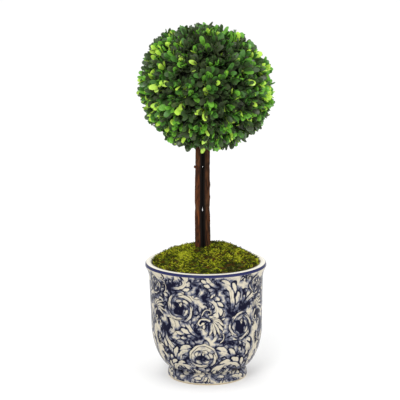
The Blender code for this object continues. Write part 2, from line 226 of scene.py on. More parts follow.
# For each pair of leaves: its root's depth under the clipped surface, its angle off the twig and its share of
# a full leaf
LEAF_PAIRS = (
    (0.0266, math.radians(34), 1.0),
    (0.0234, math.radians(29), 1.0),
    (0.0202, math.radians(22), 1.0),
    (0.0174, math.radians(10), 0.92),
)
TWIG_RADIUS = 0.0007
TUFTS = (Vector((0.13, 0.02, 0.99)), Vector((0.24, -0.05, 0.97)))
TUFT_RISE = 0.0050
STEM_GUARD = 0.0025
# How far a twig's root lies below its first leaves, and how far its end stays below its last
TWIG_ROOT = 0.004
TWIG_END = 0.001
TWIG_TAPER = 0.5
# The least and most that a whole sprig and each of its leaves vary from their sizes
SPRIG_SIZES = (0.84, 1.16)
LEAF_SIZES = (0.85, 1.1)
# How far a leaf turns round its twig, and the least and most that its angle to the twig changes, in radians
LEAF_TURN = 0.35
LEAF_NOD = (-0.22, 0.42)
LEAF_CHECKS = 4
# How the ball's dark inside is stepped and roughened
CORE_RINGS = 60
CORE_COLUMNS = 96
CORE_ROUGH = (14, 0.0016)

# A leaf's half outline, as share of its length and of its half width
LEAF_OUTLINE = ((0.12, 0.28), (0.34, 0.74), (0.58, 1.0), (0.80, 0.95), (0.95, 0.60))
LEAF_CUP = 0.07
LEAF_TIP_RISE = LEAF_CUP / 3
LEAF_SPINE = 0.026
LEAF_BEND = 0.14
LEAF_BENDS = (-1.0, 0.6)
LEAF_ROLL = math.radians(44)

# Print on the pot, in metres: how soft an inked edge is, how far a shadow spreads beyond a shape and how it
# fades there, and how wide an outline is
INK_SOFT = 0.0005
SHADOW_REACH = 0.0040
SHADOW_FADE = 1.4
OUTLINE = 0.0007
MM_PER_METRE = 1000
# How far from its root a shape may lie, in lengths of it, and how many points its line has
SHAPE_ROOM = 1.1
CURL_STEPS = 26
SCROLL_STEPS = 40
# Below, a pair is a ramp: where a wash or a line starts and where it is full. Across is a share of the half
# width, from the hollow side's edge at -1 to the other at 1, and along is a share of the length.
RIB_INK = 0.8
RIB_WIDTH = OUTLINE / 3
ROOT_ALONG = (0.42, 0.0)
# A plain leaf: its stalk's width, where it is widest and how round, its shaded half, its root, its hatching,
# its rib's end and the shadow under it
LEAF_STALK = 0.06
LEAF_PEAK = 0.8
LEAF_ROUNDNESS = 0.8
LEAF_SHADE_ACROSS = (-0.1, 0.95)
LEAF_SHADE_ALONG = (1.1, 0.35)
LEAF_ROOT_SHADE = 0.75
HATCH_SHADE = 0.28
HATCH_CLOSENESS = 8.0
HATCH_LINES = (0.3, 1.0)
HATCH_ALONG = (0.9, 0.4)
LEAF_RIB_ALONG = (0.8, 0.6)
UNDER_LEAST = 0.12
UNDER_ACROSS = (-0.4, 0.9)
# An acanthus leaf's outline: its stalk, where it is widest, how much narrower its hollow side is, and its
# lobes' number, slant, depth and roundness
ACANTHUS_STALK = 0.2
ACANTHUS_PEAK = 0.7
ACANTHUS_HOLLOW = 0.35
LOBES = 6
LOBE_SLANT = 0.9
LOBE_NOTCH = 0.58
LOBE_ROUNDNESS = 0.6
# Its washes and lines: the dark flutes between the lobes, its shaded half, its root, the veins in the flutes,
# the stripes beside its rib and the shadow round it
FLUTE_SHADE = 0.9
FLUTE_LOBE = (0.8, 0.1)
FLUTE_ACROSS = (0.05, 0.5)
ACANTHUS_SHADE = 0.6
ACANTHUS_SHADE_ACROSS = (0.0, 0.9)
ACANTHUS_SHADE_ALONG = (1.1, 0.5)
ACANTHUS_ROOT_SHADE = 0.9
VEIN_INK = 0.8
VEIN_LOBE = (0.2, 0.08)
VEIN_ACROSS = (0.1, 0.25)
ACANTHUS_RIB_ALONG = (0.9, 0.7)
STRIPE_SHADE = 0.8
STRIPE_AT = 0.34
STRIPE_WIDTH = (0.12, 0.03)
STRIPE_ALONG = (0.85, 0.35)
ACANTHUS_SHADOW = 0.92
# A scroll: how it tapers, its round end's size in widths, its shaded half and the shadow beside it
SCROLL_TAPER = 0.55
SCROLL_END = 0.95
SCROLL_SHADE = 0.8
SCROLL_SHADE_ACROSS = (-0.2, 1.0)
SCROLL_SHADE_ALONG = (1.0, 0.6)
SCROLL_UNDER = (-1.0, 1.5)
# A rose, in sizes of it: how much its light comes from above, its shaded side, its rim, the ring inside its
# rim, and how much and how often these wave
ROSE_ROOM = 1.5
ROSE_LIGHT = 0.8
ROSE_SHADED = (-0.4, 1.1)
ROSE_RIM_SHADE = 0.3
ROSE_SHADOW = 0.95
ROSE_SHADOW_LIGHT = 0.6
ROSE_SHADOW_ACROSS = (0.1, 1.0)
ROSE_RING = 0.84
ROSE_RING_SHADE = (0.3, 0.5)
ROSE_WAVE = 0.02
ROSE_WAVES = (5, 9)
# The leaves that hug its rim stand this far out, and its petals close in towards the middle, each shorter
HUG_OUT = 1.04
HUG_PLACES = 4
HUG_LENGTH = 1.5
HUG_WIDTH = 0.12
PETAL_SLANT = 1.8
ROSE_PETALS = 9
PETAL_OUT = (0.66, 0.055)
PETAL_LENGTH = (0.86, 0.05)
PETAL_WIDTH = 0.19
# Its dark heart: how far off the middle, how its edge waves, and the two small petals on it
HEART_OFF = 0.09
HEART_WAVES = ((3, 0.09), (5, 0.06))
HEART_SHADOW = 0.5
HEART_PETALS = ((-1, 0.42), (1, 0.30))
HEART_PETAL_OFF = 0.10
HEART_PETAL_WIDTH = 0.09
# A ring of petals: how far out they start, how they lean, and how long and wide they are
RING_START = 0.2
RING_SLANT = 0.25
RING_LENGTH = 0.9
RING_WIDTH = 0.26
# A shell: its blades, how wide they fan in radians, how long the outermost are, how wide they all are, and
# its scroll's turn, length and width
BLADES = 6
FAN_FROM = 0.85
FAN_STEP = 0.30
BLADE_LENGTHS = (0.75, 0.25)
BLADE_WIDTH = 0.10
SHELL_SCROLL_TURN = math.pi * 0.9
SHELL_SCROLL_LENGTH = 0.9
SHELL_SCROLL_WIDTH = 0.08
# What is strewn over the ground: how many, and how many places are tried for each
STREWN = 100
PLACES_TRIED = 24
STREWN_LEAF_LENGTHS = (0.016, 0.027)
STREWN_LEAF_WIDTH = 0.19
STREWN_LEAF_BENDS = (1.0, 2.1)
STREWN_SCROLL_LENGTHS = (0.012, 0.018)
STREWN_SCROLL_WIDTH = 0.0010
STREWN_INK_WIDTH = 0.0008
STREWN_CURL = (2.4, 3.2)
STREWN_RING_SIZES = (0.006, 0.009)
STREWN_RING_PETALS = 5
# How the hand-drawn shapes waver: over what length and how far, and the noise's layers for sideways and up
WAVERS = ((0.0120, 0.0016), (0.0034, 0.0004))
WAVER_LAYERS = (0.0, 5.0)
# How much stronger the washes are made between two sectors, at the pot's sides and back, as painted shade,
# and how much weaker on the foot, which ends this high, as painted light
SIDE_PAINTED_SHADE = 0.20
SIDE_SHADE_SPREAD = (-0.6, 0.8)
FOOT_PAINTED_LIGHT = 0.30
FOOT_TOP = 0.015
# From where to where on the lip its blue band runs
BAND = (0.1413, 0.1447)

# Motifs of one sector. A place is in degrees to the right of the front and mm up the pot, a turn is in
# degrees from the right, and sizes are in mm.
# For each leaf: place, turn, length, width, bend, how it tightens, and which way it bends (1 is to its left)
ACANTHUS = (
    (-60, 84, 75, 54, 9.0, 1.0, 1.8, -1),
    (-60, 128, 320, 40, 8.0, 1.2, 1.6, 1),
    (-40, 126, 350, 42, 8.0, 1.2, 1.8, 1),
    (24, 92, 70, 61, 10.0, 1.2, 2.4, 1),
    (38, 98, 55, 54, 9.0, 1.3, 2.2, -1),
    (-4, 116, 350, 40, 8.0, 1.4, 2.0, -1),
    (-6, 66, 150, 50, 9.0, 1.1, 1.8, -1),
    (-48, 76, 280, 54, 9.0, 1.0, 2.2, 1),
    (16, 60, 15, 52, 9.0, 0.9, 1.8, -1),
    (-34, 14, 100, 68, 10.5, 1.0, 3.0, -1),
    (-14, 12, 165, 40, 8.0, 1.2, 2.0, -1),
    (28, 14, 82, 66, 10.5, 1.0, 3.0, 1),
    (8, 12, 15, 40, 8.0, 1.2, 2.0, 1),
    (50, 14, 115, 59, 10.0, 1.2, 2.4, 1),
    (-48, 12, 80, 47, 9.0, 1.3, 2.2, -1),
    (-12, 133, 12, 35, 6.5, 1.2, 1.6, -1),
    (14, 128, 165, 38, 7.5, 1.3, 1.8, -1),
    (-30, 8, 10, 31, 6.5, 1.0, 1.6, 1),
    (30, 6, 20, 33, 6.5, 1.0, 1.6, -1),
)
# How every scroll bends and tightens, and for each one: place, turn, length, width, and which way it winds
SCROLL_CURL = (1.6, 3.2)
SCROLLS = (
    (-4, 94, 70, 20, 1.2, -1),
    (12, 74, 200, 22, 1.2, -1),
    (-46, 118, 40, 18, 1.1, 1),
    (58, 62, 250, 22, 1.2, 1),
    (14, 60, 30, 18, 1.1, 1),
)
# For each shell of slender leaves: place, size and turn
SHELLS = (
    (2, 86, 24, -20),
    (58, 92, 22, 60),
)
# For each rose: place, size, turn, its dark heart as a share of its size, how dark its petals' hollows are,
# and how many leaves hug its rim
ROSES = (
    (-27, 102, 17.5, 12, 0.42, 1.0, 4),
    (37, 78, 17.0, 150, 0.44, 1.0, 4),
    (-4, 41, 17.0, 200, 0.34, 0.8, 2),
    (58, 124, 11.5, -30, 0.30, 0.9, 3),
)

# Camera, from the photo's fit: its distance in metres and its angle above level, what it looks at, its lens
# in mm and its shift; then the stage
CAMERA_DISTANCE = 2.0
CAMERA_RISE = math.radians(11.2)
CAMERA_TARGET = Vector((0.0, 0.0, 0.225))
CAMERA_LENS = 146.8
CAMERA_SHIFT = (-0.01425, -0.007)
CAMERA_NEAR = 0.1
FLOOR_SIZE = 40.0
FLOOR_WHITE = (0.92, 0.92, 0.92, 1.0)
WHITE = (1.0, 1.0, 1.0, 1.0)
# The white sky's strength, its strength towards the front, and between which slants to the front it changes
SKY_LIGHT = 1.16
SKY_FRONT_LIGHT = 0.86
SKY_CHANGE = (0.1, 0.8)
FRONT = (0.0, -1.0, 0.0)
# For each lamp: place, size and power in watts
LAMPS = {
    "key": ((-0.5, -1.7, 1.4), 0.9, 18.0),
    "fill": ((1.2, -1.3, 0.5), 1.0, 8.0),
}


def smooth_share(value, low, high):
    """How far value has come from low to high, as a share from 0 to 1."""
    return min(1.0, max(0.0, (value - low) / (high - low)))


def swelling(value, middle, rise, length):
    """A soft bump of this rise and length round a middle."""
    return rise * math.exp(-(((value - middle) / length) ** 2))


def soft_step(values, low, high):
    """The same share for a whole array, eased at both ends."""
    share = np.clip((values - low) / (high - low), 0.0, 1.0)
    return share * share * (3 - 2 * share)


def ink_ramp(depth):
    """Cover of an inked edge: 0 well outside it, 1 well inside."""
    return np.clip(0.5 + depth / INK_SOFT, 0.0, 1.0)


def wall_radius(z):
    """Outer radius of the pot at height z: a round bowl, a plain wall and a flare up to the lip."""
    rise = smooth_share(z, NECK_HEIGHT, BOWL_HEIGHT)
    bowl = (1 - (1 - rise) ** BOWL_POWER) ** (1 / BOWL_POWER)
    plain = smooth_share(z, BOWL_HEIGHT, FLARE_HEIGHT)
    flare = smooth_share(z, FLARE_HEIGHT, LIP_HEIGHT) ** 2
    return (
        NECK_RADIUS
        + (BOWL_RADIUS - NECK_RADIUS) * bowl
        + (WALL_TOP_RADIUS - BOWL_RADIUS) * plain
        + (RIM_RADIUS - WALL_TOP_RADIUS) * flare
    )


def nearest(x, y, points):
    """How far along a line of points each place lies, as a share, and how far to the line's left."""
    start, step = points[:-1], np.diff(points, axis=0)
    length = np.hypot(step[:, 0], step[:, 1])
    step = step / length[:, None]
    from_x, from_y = x[:, None] - start[:, 0], y[:, None] - start[:, 1]
    reach = np.clip(from_x * step[:, 0] + from_y * step[:, 1], 0.0, length)
    away_x, away_y = from_x - reach * step[:, 0], from_y - reach * step[:, 1]
    away = np.hypot(away_x, away_y)
    best = np.argmin(away, axis=1)
    rows = np.arange(len(x))
    left = np.sign(step[best, 0] * away_y[rows, best] - step[best, 1] * away_x[rows, best])
    walked = np.concatenate(([0.0], np.cumsum(length)))
    along = (walked[best] + reach[rows, best]) / walked[-1]
    return along, away[rows, best] * np.where(left == 0, 1, left)


def curl(length, bend, tighten, steps=CURL_STEPS):
    """Points of a line that sets out along +X, bends evenly and tightens towards its end."""
    share = np.linspace(0.0, 1.0, steps)
    heading = bend * share + tighten * share**3
    step = length / (steps - 1)
    x = np.concatenate(([0.0], np.cumsum(np.cos(heading[:-1])) * step))
    y = np.concatenate(([0.0], np.cumsum(np.sin(heading[:-1])) * step))
    return np.column_stack((x, y))


class Print:
    """The print on one sector of the pot: ink lines and soft washes at every point of its grid."""

    def __init__(self, rise, radius, columns, span):
        self.rise = rise
        self.span = span
        self.radius = radius[:, None]
        self.angle = np.linspace(0.0, span, columns, endpoint=False)[None, :]
        self.line = np.zeros((len(rise), columns))
        self.wash = np.zeros((len(rise), columns))
        self.sideways, self.upward = map(self.waver, WAVER_LAYERS)

    def waver(self, layer):
        """How far the drawing strays at every point, the same at both ends of the sector."""
        turns = 2 * math.pi * self.angle[0] / self.span
        strayed = np.zeros((len(self.rise), len(turns)))
        for size, stray in WAVERS:
            ring = self.span * float(self.radius.mean()) / (2 * math.pi * size)
            for row, rise in enumerate(self.rise):
                up = rise / size + layer
                around = [Vector((ring * math.cos(turn), ring * math.sin(turn), up)) for turn in turns]
                strayed[row] += [stray * noise.noise(place) for place in around]
        return strayed

    def around(self, at, reach):
        """The points within reach of a place, and their offsets from it to the right and up."""
        angle, rise = at
        turn = (self.angle - angle + self.span / 2) % self.span - self.span / 2
        right = turn * self.radius + self.sideways
        up = (self.rise - rise)[:, None] + self.upward
        near = np.hypot(right, up) < reach
        return near, right[near], up[near]

    def beside(self, at, right, up):
        """The place this far to the right and up from another."""
        radius = float(np.interp(at[1], self.rise, self.radius[:, 0]))
        return at[0] + right / radius, at[1] + up

    def out_from(self, at, way, reach):
        """The place this far from another, in this direction."""
        return self.beside(at, math.cos(way) * reach, math.sin(way) * reach)

    def paint(self, near, outside, wash, line=0.0, shadow=0.0, edge_ink=1.0):
        """Lays a shape over the print: its wash and lines within, its outline, and a shadow beyond it."""
        old_wash, old_line = self.wash[near], self.line[near]
        beyond = shadow * np.exp(-((np.maximum(outside, 0.0) / SHADOW_REACH) ** SHADOW_FADE))
        old_wash = np.maximum(old_wash, beyond)
        cover = ink_ramp(-outside)
        outline = edge_ink * ink_ramp(OUTLINE / 2 - np.abs(outside))
        self.wash[near] = old_wash + cover * (wash - old_wash)
        self.line[near] = np.maximum(old_line + cover * (line - old_line), outline)

    def turned(self, at, turn, side, reach):
        """The points within reach of a place, and their offsets as a shape that faces this way sees them."""
        near, x, y = self.around(at, reach)
        ahead = x * math.cos(turn) + y * math.sin(turn)
        left = (y * math.cos(turn) - x * math.sin(turn)) * side
        return near, ahead, left

    def leaf(self, at, turn, length, width, bend, tighten, side=1, dark=0.9, shadow=0.95):
        """A curling leaf from its root: one half in shade, a midrib, and a shadow under its hollow side."""
        near, ahead, left = self.turned(at, turn, side, length * SHAPE_ROOM + width + 2 * SHADOW_REACH)
        along, across = nearest(ahead, left, curl(length, bend, tighten))
        half = width * (LEAF_STALK + np.sin(np.pi * along**LEAF_PEAK) ** LEAF_ROUNDNESS)
        place = across / half
        shade = dark * soft_step(place, *LEAF_SHADE_ACROSS) * soft_step(along, *LEAF_SHADE_ALONG)
        root = LEAF_ROOT_SHADE * soft_step(along, *ROOT_ALONG)
        hatch = soft_step(np.cos(place * HATCH_CLOSENESS), *HATCH_LINES) * soft_step(along, *HATCH_ALONG)
        wash = np.clip(np.maximum(shade, root) + HATCH_SHADE * hatch, 0, 1)
        rib = RIB_INK * ink_ramp(RIB_WIDTH - np.abs(across)) * soft_step(along, *LEAF_RIB_ALONG)
        under = shadow * (UNDER_LEAST + (1 - UNDER_LEAST) * soft_step(place, *UNDER_ACROSS))
        self.paint(near, np.abs(across) - half, wash, rib, under)

    def acanthus(self, at, turn, length, width, bend, tighten, side):
        """A long curling leaf with a lobed edge: each lobe is cream, and the flute beside it is dark."""
        near, ahead, left = self.turned(at, turn, side, length * SHAPE_ROOM + 2 * width + SHADOW_REACH)
        along, across = nearest(ahead, left, curl(length, bend, tighten))
        full = width * (ACANTHUS_STALK + np.sin(np.pi * along**ACANTHUS_PEAK) ** LEAF_ROUNDNESS)
        full = full * (1 - ACANTHUS_HOLLOW * (across > 0))
        place = np.abs(across) / full
        lobe = np.abs(np.sin(np.pi * (LOBES * along - LOBE_SLANT * place)))
        outside = np.abs(across) - full * (LOBE_NOTCH + (1 - LOBE_NOTCH) * lobe**LOBE_ROUNDNESS)
        flute = FLUTE_SHADE * soft_step(lobe, *FLUTE_LOBE) * soft_step(place, *FLUTE_ACROSS)
        shade = soft_step(across / full, *ACANTHUS_SHADE_ACROSS) * soft_step(along, *ACANTHUS_SHADE_ALONG)
        root = ACANTHUS_ROOT_SHADE * soft_step(along, *ROOT_ALONG)
        vein = VEIN_INK * soft_step(lobe, *VEIN_LOBE) * soft_step(place, *VEIN_ACROSS)
        rib = RIB_INK * ink_ramp(RIB_WIDTH - np.abs(across)) * soft_step(along, *ACANTHUS_RIB_ALONG)
        stripe = soft_step(np.abs(place - STRIPE_AT), *STRIPE_WIDTH) * soft_step(along, *STRIPE_ALONG)
        wash = np.maximum(flute, root) + ACANTHUS_SHADE * shade + STRIPE_SHADE * stripe
        self.paint(near, outside, np.clip(wash, 0, 1), np.maximum(vein, rib), ACANTHUS_SHADOW)

    def scroll(self, at, turn, length, width, bend, tighten, side=1, ink=0.0, shadow=0.95):
        """A scroll that winds up to a round end."""
        near, ahead, left = self.turned(at, turn, side, length)
        points = curl(length, bend, tighten, SCROLL_STEPS)
        along, across = nearest(ahead, left, points)
        half = width * (1 - SCROLL_TAPER * along)
        from_end = np.hypot(ahead - points[-1, 0], left - points[-1, 1])
        outside = np.minimum(np.abs(across) - half, from_end - width * SCROLL_END)
        shade = soft_step(across / half, *SCROLL_SHADE_ACROSS) * soft_step(along, *SCROLL_SHADE_ALONG)
        beside = shadow * soft_step(across / half, *SCROLL_UNDER)
        self.paint(near, outside, np.maximum(ink, SCROLL_SHADE * shade), shadow=beside)

    def petals(self, at, size, count, turn):
        """A ring of petals round a place, each a short leaf that starts near the middle."""
        for petal in range(count):
            way = turn + 2 * math.pi * petal / count
            start = self.out_from(at, way, size * RING_START)
            length, width = size * RING_LENGTH, size * RING_WIDTH
            self.leaf(start, way - RING_SLANT, length, width, bend=0.5, tighten=0.3, shadow=1.0)

    def rose(self, at, size, turn, heart, dark, hugging):
        """A round flower: a cream rim, petals that close over one another, and a dark heart."""
        near, x, y = self.around(at, size * ROSE_ROOM + SHADOW_REACH)
        out = np.hypot(x, y)
        way = np.arctan2(y, x) - turn
        shaded = soft_step((x - ROSE_LIGHT * y) / size, *ROSE_SHADED)
        few, many = ROSE_WAVES
        rim = out - size * (1 + ROSE_WAVE * (np.cos(few * way) + np.cos(many * way)))
        shadow = ROSE_SHADOW * soft_step(np.abs(x - ROSE_SHADOW_LIGHT * y) / size, *ROSE_SHADOW_ACROSS)
        self.paint(near, rim, ROSE_RIM_SHADE * shaded, shadow=shadow)
        ring = out - size * (ROSE_RING + ROSE_WAVE * np.cos(few * way + 1))
        least, more = ROSE_RING_SHADE
        self.paint(near, ring, dark * (least + more * shaded))
        for leaf in range(hugging):
            rim_way = turn + 2 * math.pi * leaf / HUG_PLACES
            start = self.out_from(at, rim_way, size * HUG_OUT)
            slant = rim_way + PETAL_SLANT
            length, width = size * HUG_LENGTH, size * HUG_WIDTH
            self.leaf(start, slant, length, width, bend=1.5, tighten=0.1, dark=1.0, shadow=0.7)
        for petal in range(ROSE_PETALS):
            petal_way = turn + GOLDEN_TURN * petal
            start = self.out_from(at, petal_way, size * (PETAL_OUT[0] - PETAL_OUT[1] * petal))
            slant = petal_way + PETAL_SLANT
            length = size * (PETAL_LENGTH[0] - PETAL_LENGTH[1] * petal)
            width = size * PETAL_WIDTH
            self.leaf(start, slant, length, width, bend=1.7, tighten=0.8, dark=dark, shadow=0.9 * dark)
        off = size * HEART_OFF
        edge = heart + sum(deep * np.cos(often * way + i) for i, (often, deep) in enumerate(HEART_WAVES))
        blot = np.hypot(x + off, y + off) - size * edge
        self.paint(near, blot, 1.0, shadow=HEART_SHADOW, edge_ink=0.0)
        for side, reach in HEART_PETALS:
            petal = self.beside(at, side * size * HEART_PETAL_OFF, size * HEART_PETAL_OFF)
            slant = math.pi / 2 + side
            length, width = size * reach, size * HEART_PETAL_WIDTH
            self.leaf(petal, slant, length, width, bend=1.0, tighten=0.5, side=-side, dark=0.5, shadow=0.0)

    def shell(self, at, size, turn):
        """A fan of slender leaves that all bend one way from a small scroll."""
        for blade in range(BLADES):
            fan = turn + FAN_FROM - FAN_STEP * blade
            reach = size * (BLADE_LENGTHS[0] + BLADE_LENGTHS[1] * math.sin(math.pi * blade / (BLADES - 1)))
            width = size * BLADE_WIDTH
            self.leaf(at, fan, reach, width, bend=0.9, tighten=0.5, side=-1, dark=0.95, shadow=1.0)
        length, width = size * SHELL_SCROLL_LENGTH, size * SHELL_SCROLL_WIDTH
        self.scroll(at, turn + SHELL_SCROLL_TURN, length, width, bend=1.8, tighten=3.6)

    def fill(self, rng):
        """Small leaves, scrolls and rings of petals strewn over the ground, each where there is most room."""
        placed = []
        top = float(self.rise[-1])
        mean_radius = float(self.radius.mean())
        for i in range(STREWN):
            tries = [(rng.uniform(0, self.span), rng.uniform(0, top)) for _ in range(PLACES_TRIED)]
            room = [self.room(place, placed, mean_radius) for place in tries]
            place = tries[room.index(max(room))]
            placed.append(place)
            turn = rng.uniform(0, 2 * math.pi)
            side = rng.choice((-1, 1))
            kind = i % 5
            if kind == 0:
                length = rng.uniform(*STREWN_SCROLL_LENGTHS)
                self.scroll(place, turn, length, STREWN_SCROLL_WIDTH, *STREWN_CURL, side)
            elif kind == 1:
                self.petals(place, rng.uniform(*STREWN_RING_SIZES), STREWN_RING_PETALS, turn)
            elif kind == 2:
                length = rng.uniform(*STREWN_SCROLL_LENGTHS)
                width = STREWN_INK_WIDTH
                self.scroll(place, turn, length, width, *STREWN_CURL, side, ink=1.0, shadow=0.2)
            else:
                length = rng.uniform(*STREWN_LEAF_LENGTHS)
                bend = rng.uniform(*STREWN_LEAF_BENDS)
                width = length * STREWN_LEAF_WIDTH
                self.leaf(place, turn, length, width, bend, tighten=1.0, side=side, dark=1.2)

    def room(self, place, placed, mean_radius):
        """Distance from a place to the nearest one in use, round the sector's join too."""
        nearest_one = self.span
        for other in placed:
            turn = (place[0] - other[0] + self.span / 2) % self.span - self.span / 2
            nearest_one = min(nearest_one, math.hypot(turn * mean_radius, place[1] - other[1]))
        return nearest_one


def draw_print(rise, radius, rise_at):
    """The whole print of one sector. rise_at turns a height in metres into a distance up the wall."""
    span = 2 * math.pi / PRINT_SECTORS
    sheet = Print(rise, radius, SECTOR_COLUMNS, span)

    def place_at(degrees, height):
        return math.radians(degrees) % span, rise_at(height / MM_PER_METRE)

    sheet.fill(random.Random(SEED))
    for degrees, height, turn, length, width, bend, tighten, side in ACANTHUS:
        sizes = length / MM_PER_METRE, width / MM_PER_METRE
        sheet.acanthus(place_at(degrees, height), math.radians(turn), *sizes, bend, tighten, side)
    for degrees, height, turn, length, width, side in SCROLLS:
        sizes = length / MM_PER_METRE, width / MM_PER_METRE
        sheet.scroll(place_at(degrees, height), math.radians(turn), *sizes, *SCROLL_CURL, side)
    for degrees, height, size, turn in SHELLS:
        sheet.shell(place_at(degrees, height), size / MM_PER_METRE, math.radians(turn))
    for degrees, height, size, turn, heart, dark, hugging in ROSES:
        place = place_at(degrees, height)
        sheet.rose(place, size / MM_PER_METRE, math.radians(turn), heart, dark, hugging)
    # Painted shade where two sectors meet, at the pot's sides and back, and painted light on the foot
    sheet.wash *= 1 + SIDE_PAINTED_SHADE * soft_step(-np.cos(sheet.angle * PRINT_SECTORS), *SIDE_SHADE_SPREAD)
    sheet.wash *= 1 - FOOT_PAINTED_LIGHT * soft_step(rise, FOOT_TOP, FOOT_TOP / 2)[:, None]
    return sheet


def screen_colour(red, green, blue):
    """A screen colour, 0 to 255 each, as the linear colour that a socket takes."""
    shown = [part / 255 for part in (red, green, blue)]
    linear = [part / 12.92 if part < 0.04045 else ((part + 0.055) / 1.055) ** 2.4 for part in shown]
    return (*linear, 1.0)


def new_node(tree, kind, **values):
    """A node with these values, each a setting or the default of an input of that name."""
    made = tree.nodes.new(kind)
    for name, value in values.items():
        socket = made.inputs.get(name.replace("_", " "))
        if socket is None:
            setattr(made, name, value)
        else:
            socket.default_value = value
    return made


def blend_colours(tree, share, low, high):
    """A mix of two colours, each a colour or a socket, by a share from a socket."""
    mix = new_node(tree, "ShaderNodeMix", data_type="RGBA")
    factor, first, second = mix.inputs[0], mix.inputs[6], mix.inputs[7]
    tree.links.new(share, factor)
    for socket, colour in ((first, low), (second, high)):
        if isinstance(colour, tuple):
            socket.default_value = colour
        else:
            tree.links.new(colour, socket)
    return mix.outputs[2]


def spread(tree, socket, low, high, to_low=0.0, to_high=1.0):
    """A value's share between two limits, clamped, as a value between two others."""
    made = new_node(tree, "ShaderNodeMapRange", clamp=True)
    tree.links.new(socket, made.inputs["Value"])
    for name, value in (("From Min", low), ("From Max", high), ("To Min", to_low), ("To Max", to_high)):
        made.inputs[name].default_value = value
    return made.outputs["Result"]


def noise_at(tree, scale, detail, stretch=(1.0, 1.0, 1.0)):
    """Noise over the object's own coordinates, drawn out along an axis where stretch is under 1."""
    place = new_node(tree, "ShaderNodeTexCoord")
    mapping = new_node(tree, "ShaderNodeMapping", Scale=stretch)
    texture = new_node(tree, "ShaderNodeTexNoise", Scale=scale, Detail=detail)
    tree.links.new(place.outputs["Object"], mapping.inputs["Vector"])
    tree.links.new(mapping.outputs["Vector"], texture.inputs["Vector"])
    return texture.outputs["Fac"]


def attribute(tree, name):
    """A value that the mesh carries at each of its points."""
    return new_node(tree, "ShaderNodeAttribute", attribute_name=name).outputs["Fac"]


def bump(tree, shader, height, distance, strength=1.0):
    """Relief on a shader from a height between 0 and 1, this deep in metres."""
    made = new_node(tree, "ShaderNodeBump", Distance=distance, Strength=strength)
    tree.links.new(height, made.inputs["Height"])
    tree.links.new(made.outputs["Normal"], shader.inputs["Normal"])


def new_material(name, roughness, **finish):
    """A material, its node tree and its shader, with these values on the shader's own sockets."""
    made = bpy.data.materials.new(name)
    made.use_nodes = True
    shader = made.node_tree.nodes["Principled BSDF"]
    shader.inputs["Roughness"].default_value = roughness
    for socket, value in finish.items():
        shader.inputs[socket.replace("_", " ")].default_value = value
    return made, made.node_tree, shader


def glaze_material():
    """Cream ceramic with a blue print under a clear glaze, and bare clay along the foot's edge."""
    made, tree, shader = new_material("printed_glaze", roughness=0.2, Specular_IOR_Level=0.05)
    fine = noise_at(tree, scale=260.0, detail=5.0)
    blot = spread(tree, fine, low=0.3, high=0.7, to_low=-BLOT, to_high=BLOT)
    uneven = new_node(tree, "ShaderNodeMath", operation="ADD", use_clamp=True)
    tree.links.new(blot, uneven.inputs[0])
    # The wash holds the print, with painted shade at the pot's sides and back and painted light on its foot
    tree.links.new(attribute(tree, "wash"), uneven.inputs[1])
    wash = uneven.outputs["Value"]
    ground = blend_colours(tree, noise_at(tree, scale=60.0, detail=2.0), CREAM, CREAM_SHADE)
    pale = blend_colours(tree, spread(tree, wash, *BLUE_WASHES), ground, BLUE_WASH)
    deep = blend_colours(tree, spread(tree, wash, *NAVY_WASHES), pale, NAVY)
    inked = blend_colours(tree, spread(tree, attribute(tree, "line"), *INKED_LINES), deep, NAVY)
    # The plain lip and the inside are whiter than the cream: partly their unprinted glaze, partly painted
    # light on the rim
    lip_whitened_and_lit = blend_colours(tree, attribute(tree, "lip"), inked, LIP_WHITE_AND_PAINTED_LIGHT)
    banded = blend_colours(tree, attribute(tree, "band"), lip_whitened_and_lit, BAND_BLUE)
    bare = blend_colours(tree, attribute(tree, "clay"), banded, CLAY)
    tree.links.new(bare, shader.inputs["Base Color"])
    rough = spread(tree, attribute(tree, "clay"), low=0.0, high=1.0, to_low=0.16, to_high=0.8)
    tree.links.new(rough, shader.inputs["Roughness"])
    bump(tree, shader, noise_at(tree, scale=90.0, detail=2.0), distance=0.0004, strength=0.25)
    return made


def bark_material(name, pale, dark):
    """Thin streaked bark, dark in its cracks, with painted shade where it faces the seam between the stems.
    """
    made, tree, shader = new_material(name, roughness=0.8, Specular_IOR_Level=0.12)
    streak = noise_at(tree, scale=620.0, detail=5.0, stretch=(1.0, 1.0, 0.10))
    patch = noise_at(tree, scale=110.0, detail=3.0, stretch=(1.0, 1.0, 0.5))
    mixed = blend_colours(tree, spread(tree, streak, low=0.35, high=0.68), dark, pale)
    grey = spread(tree, patch, low=0.45, high=0.70, to_high=0.6)
    weathered = blend_colours(tree, grey, mixed, BARK_GREY)
    # The crack value holds the cracks' darkness and the painted shade along the seam
    cracked_and_seam_shaded = blend_colours(tree, attribute(tree, "crack"), weathered, BARK_CRACK_AND_SEAM_SHADE)
    tree.links.new(cracked_and_seam_shaded, shader.inputs["Base Color"])
    bump(tree, shader, streak, distance=0.0003, strength=0.6)
    return made


def bed_material():
    """The moss under its fronds: matted olive strands, brown in the hollows."""
    made, tree, shader = new_material("moss_bed", roughness=0.95)
    fine = noise_at(tree, scale=700.0, detail=5.0)
    patch = noise_at(tree, scale=90.0, detail=3.0)
    green = blend_colours(tree, spread(tree, fine, low=0.35, high=0.65), MOSS_DEEP, MOSS_OLIVE)
    dead = spread(tree, patch, low=0.50, high=0.66, to_high=0.7)
    tree.links.new(blend_colours(tree, dead, green, MOSS_BROWN), shader.inputs["Base Color"])
    bump(tree, shader, fine, distance=0.0008)
    return made


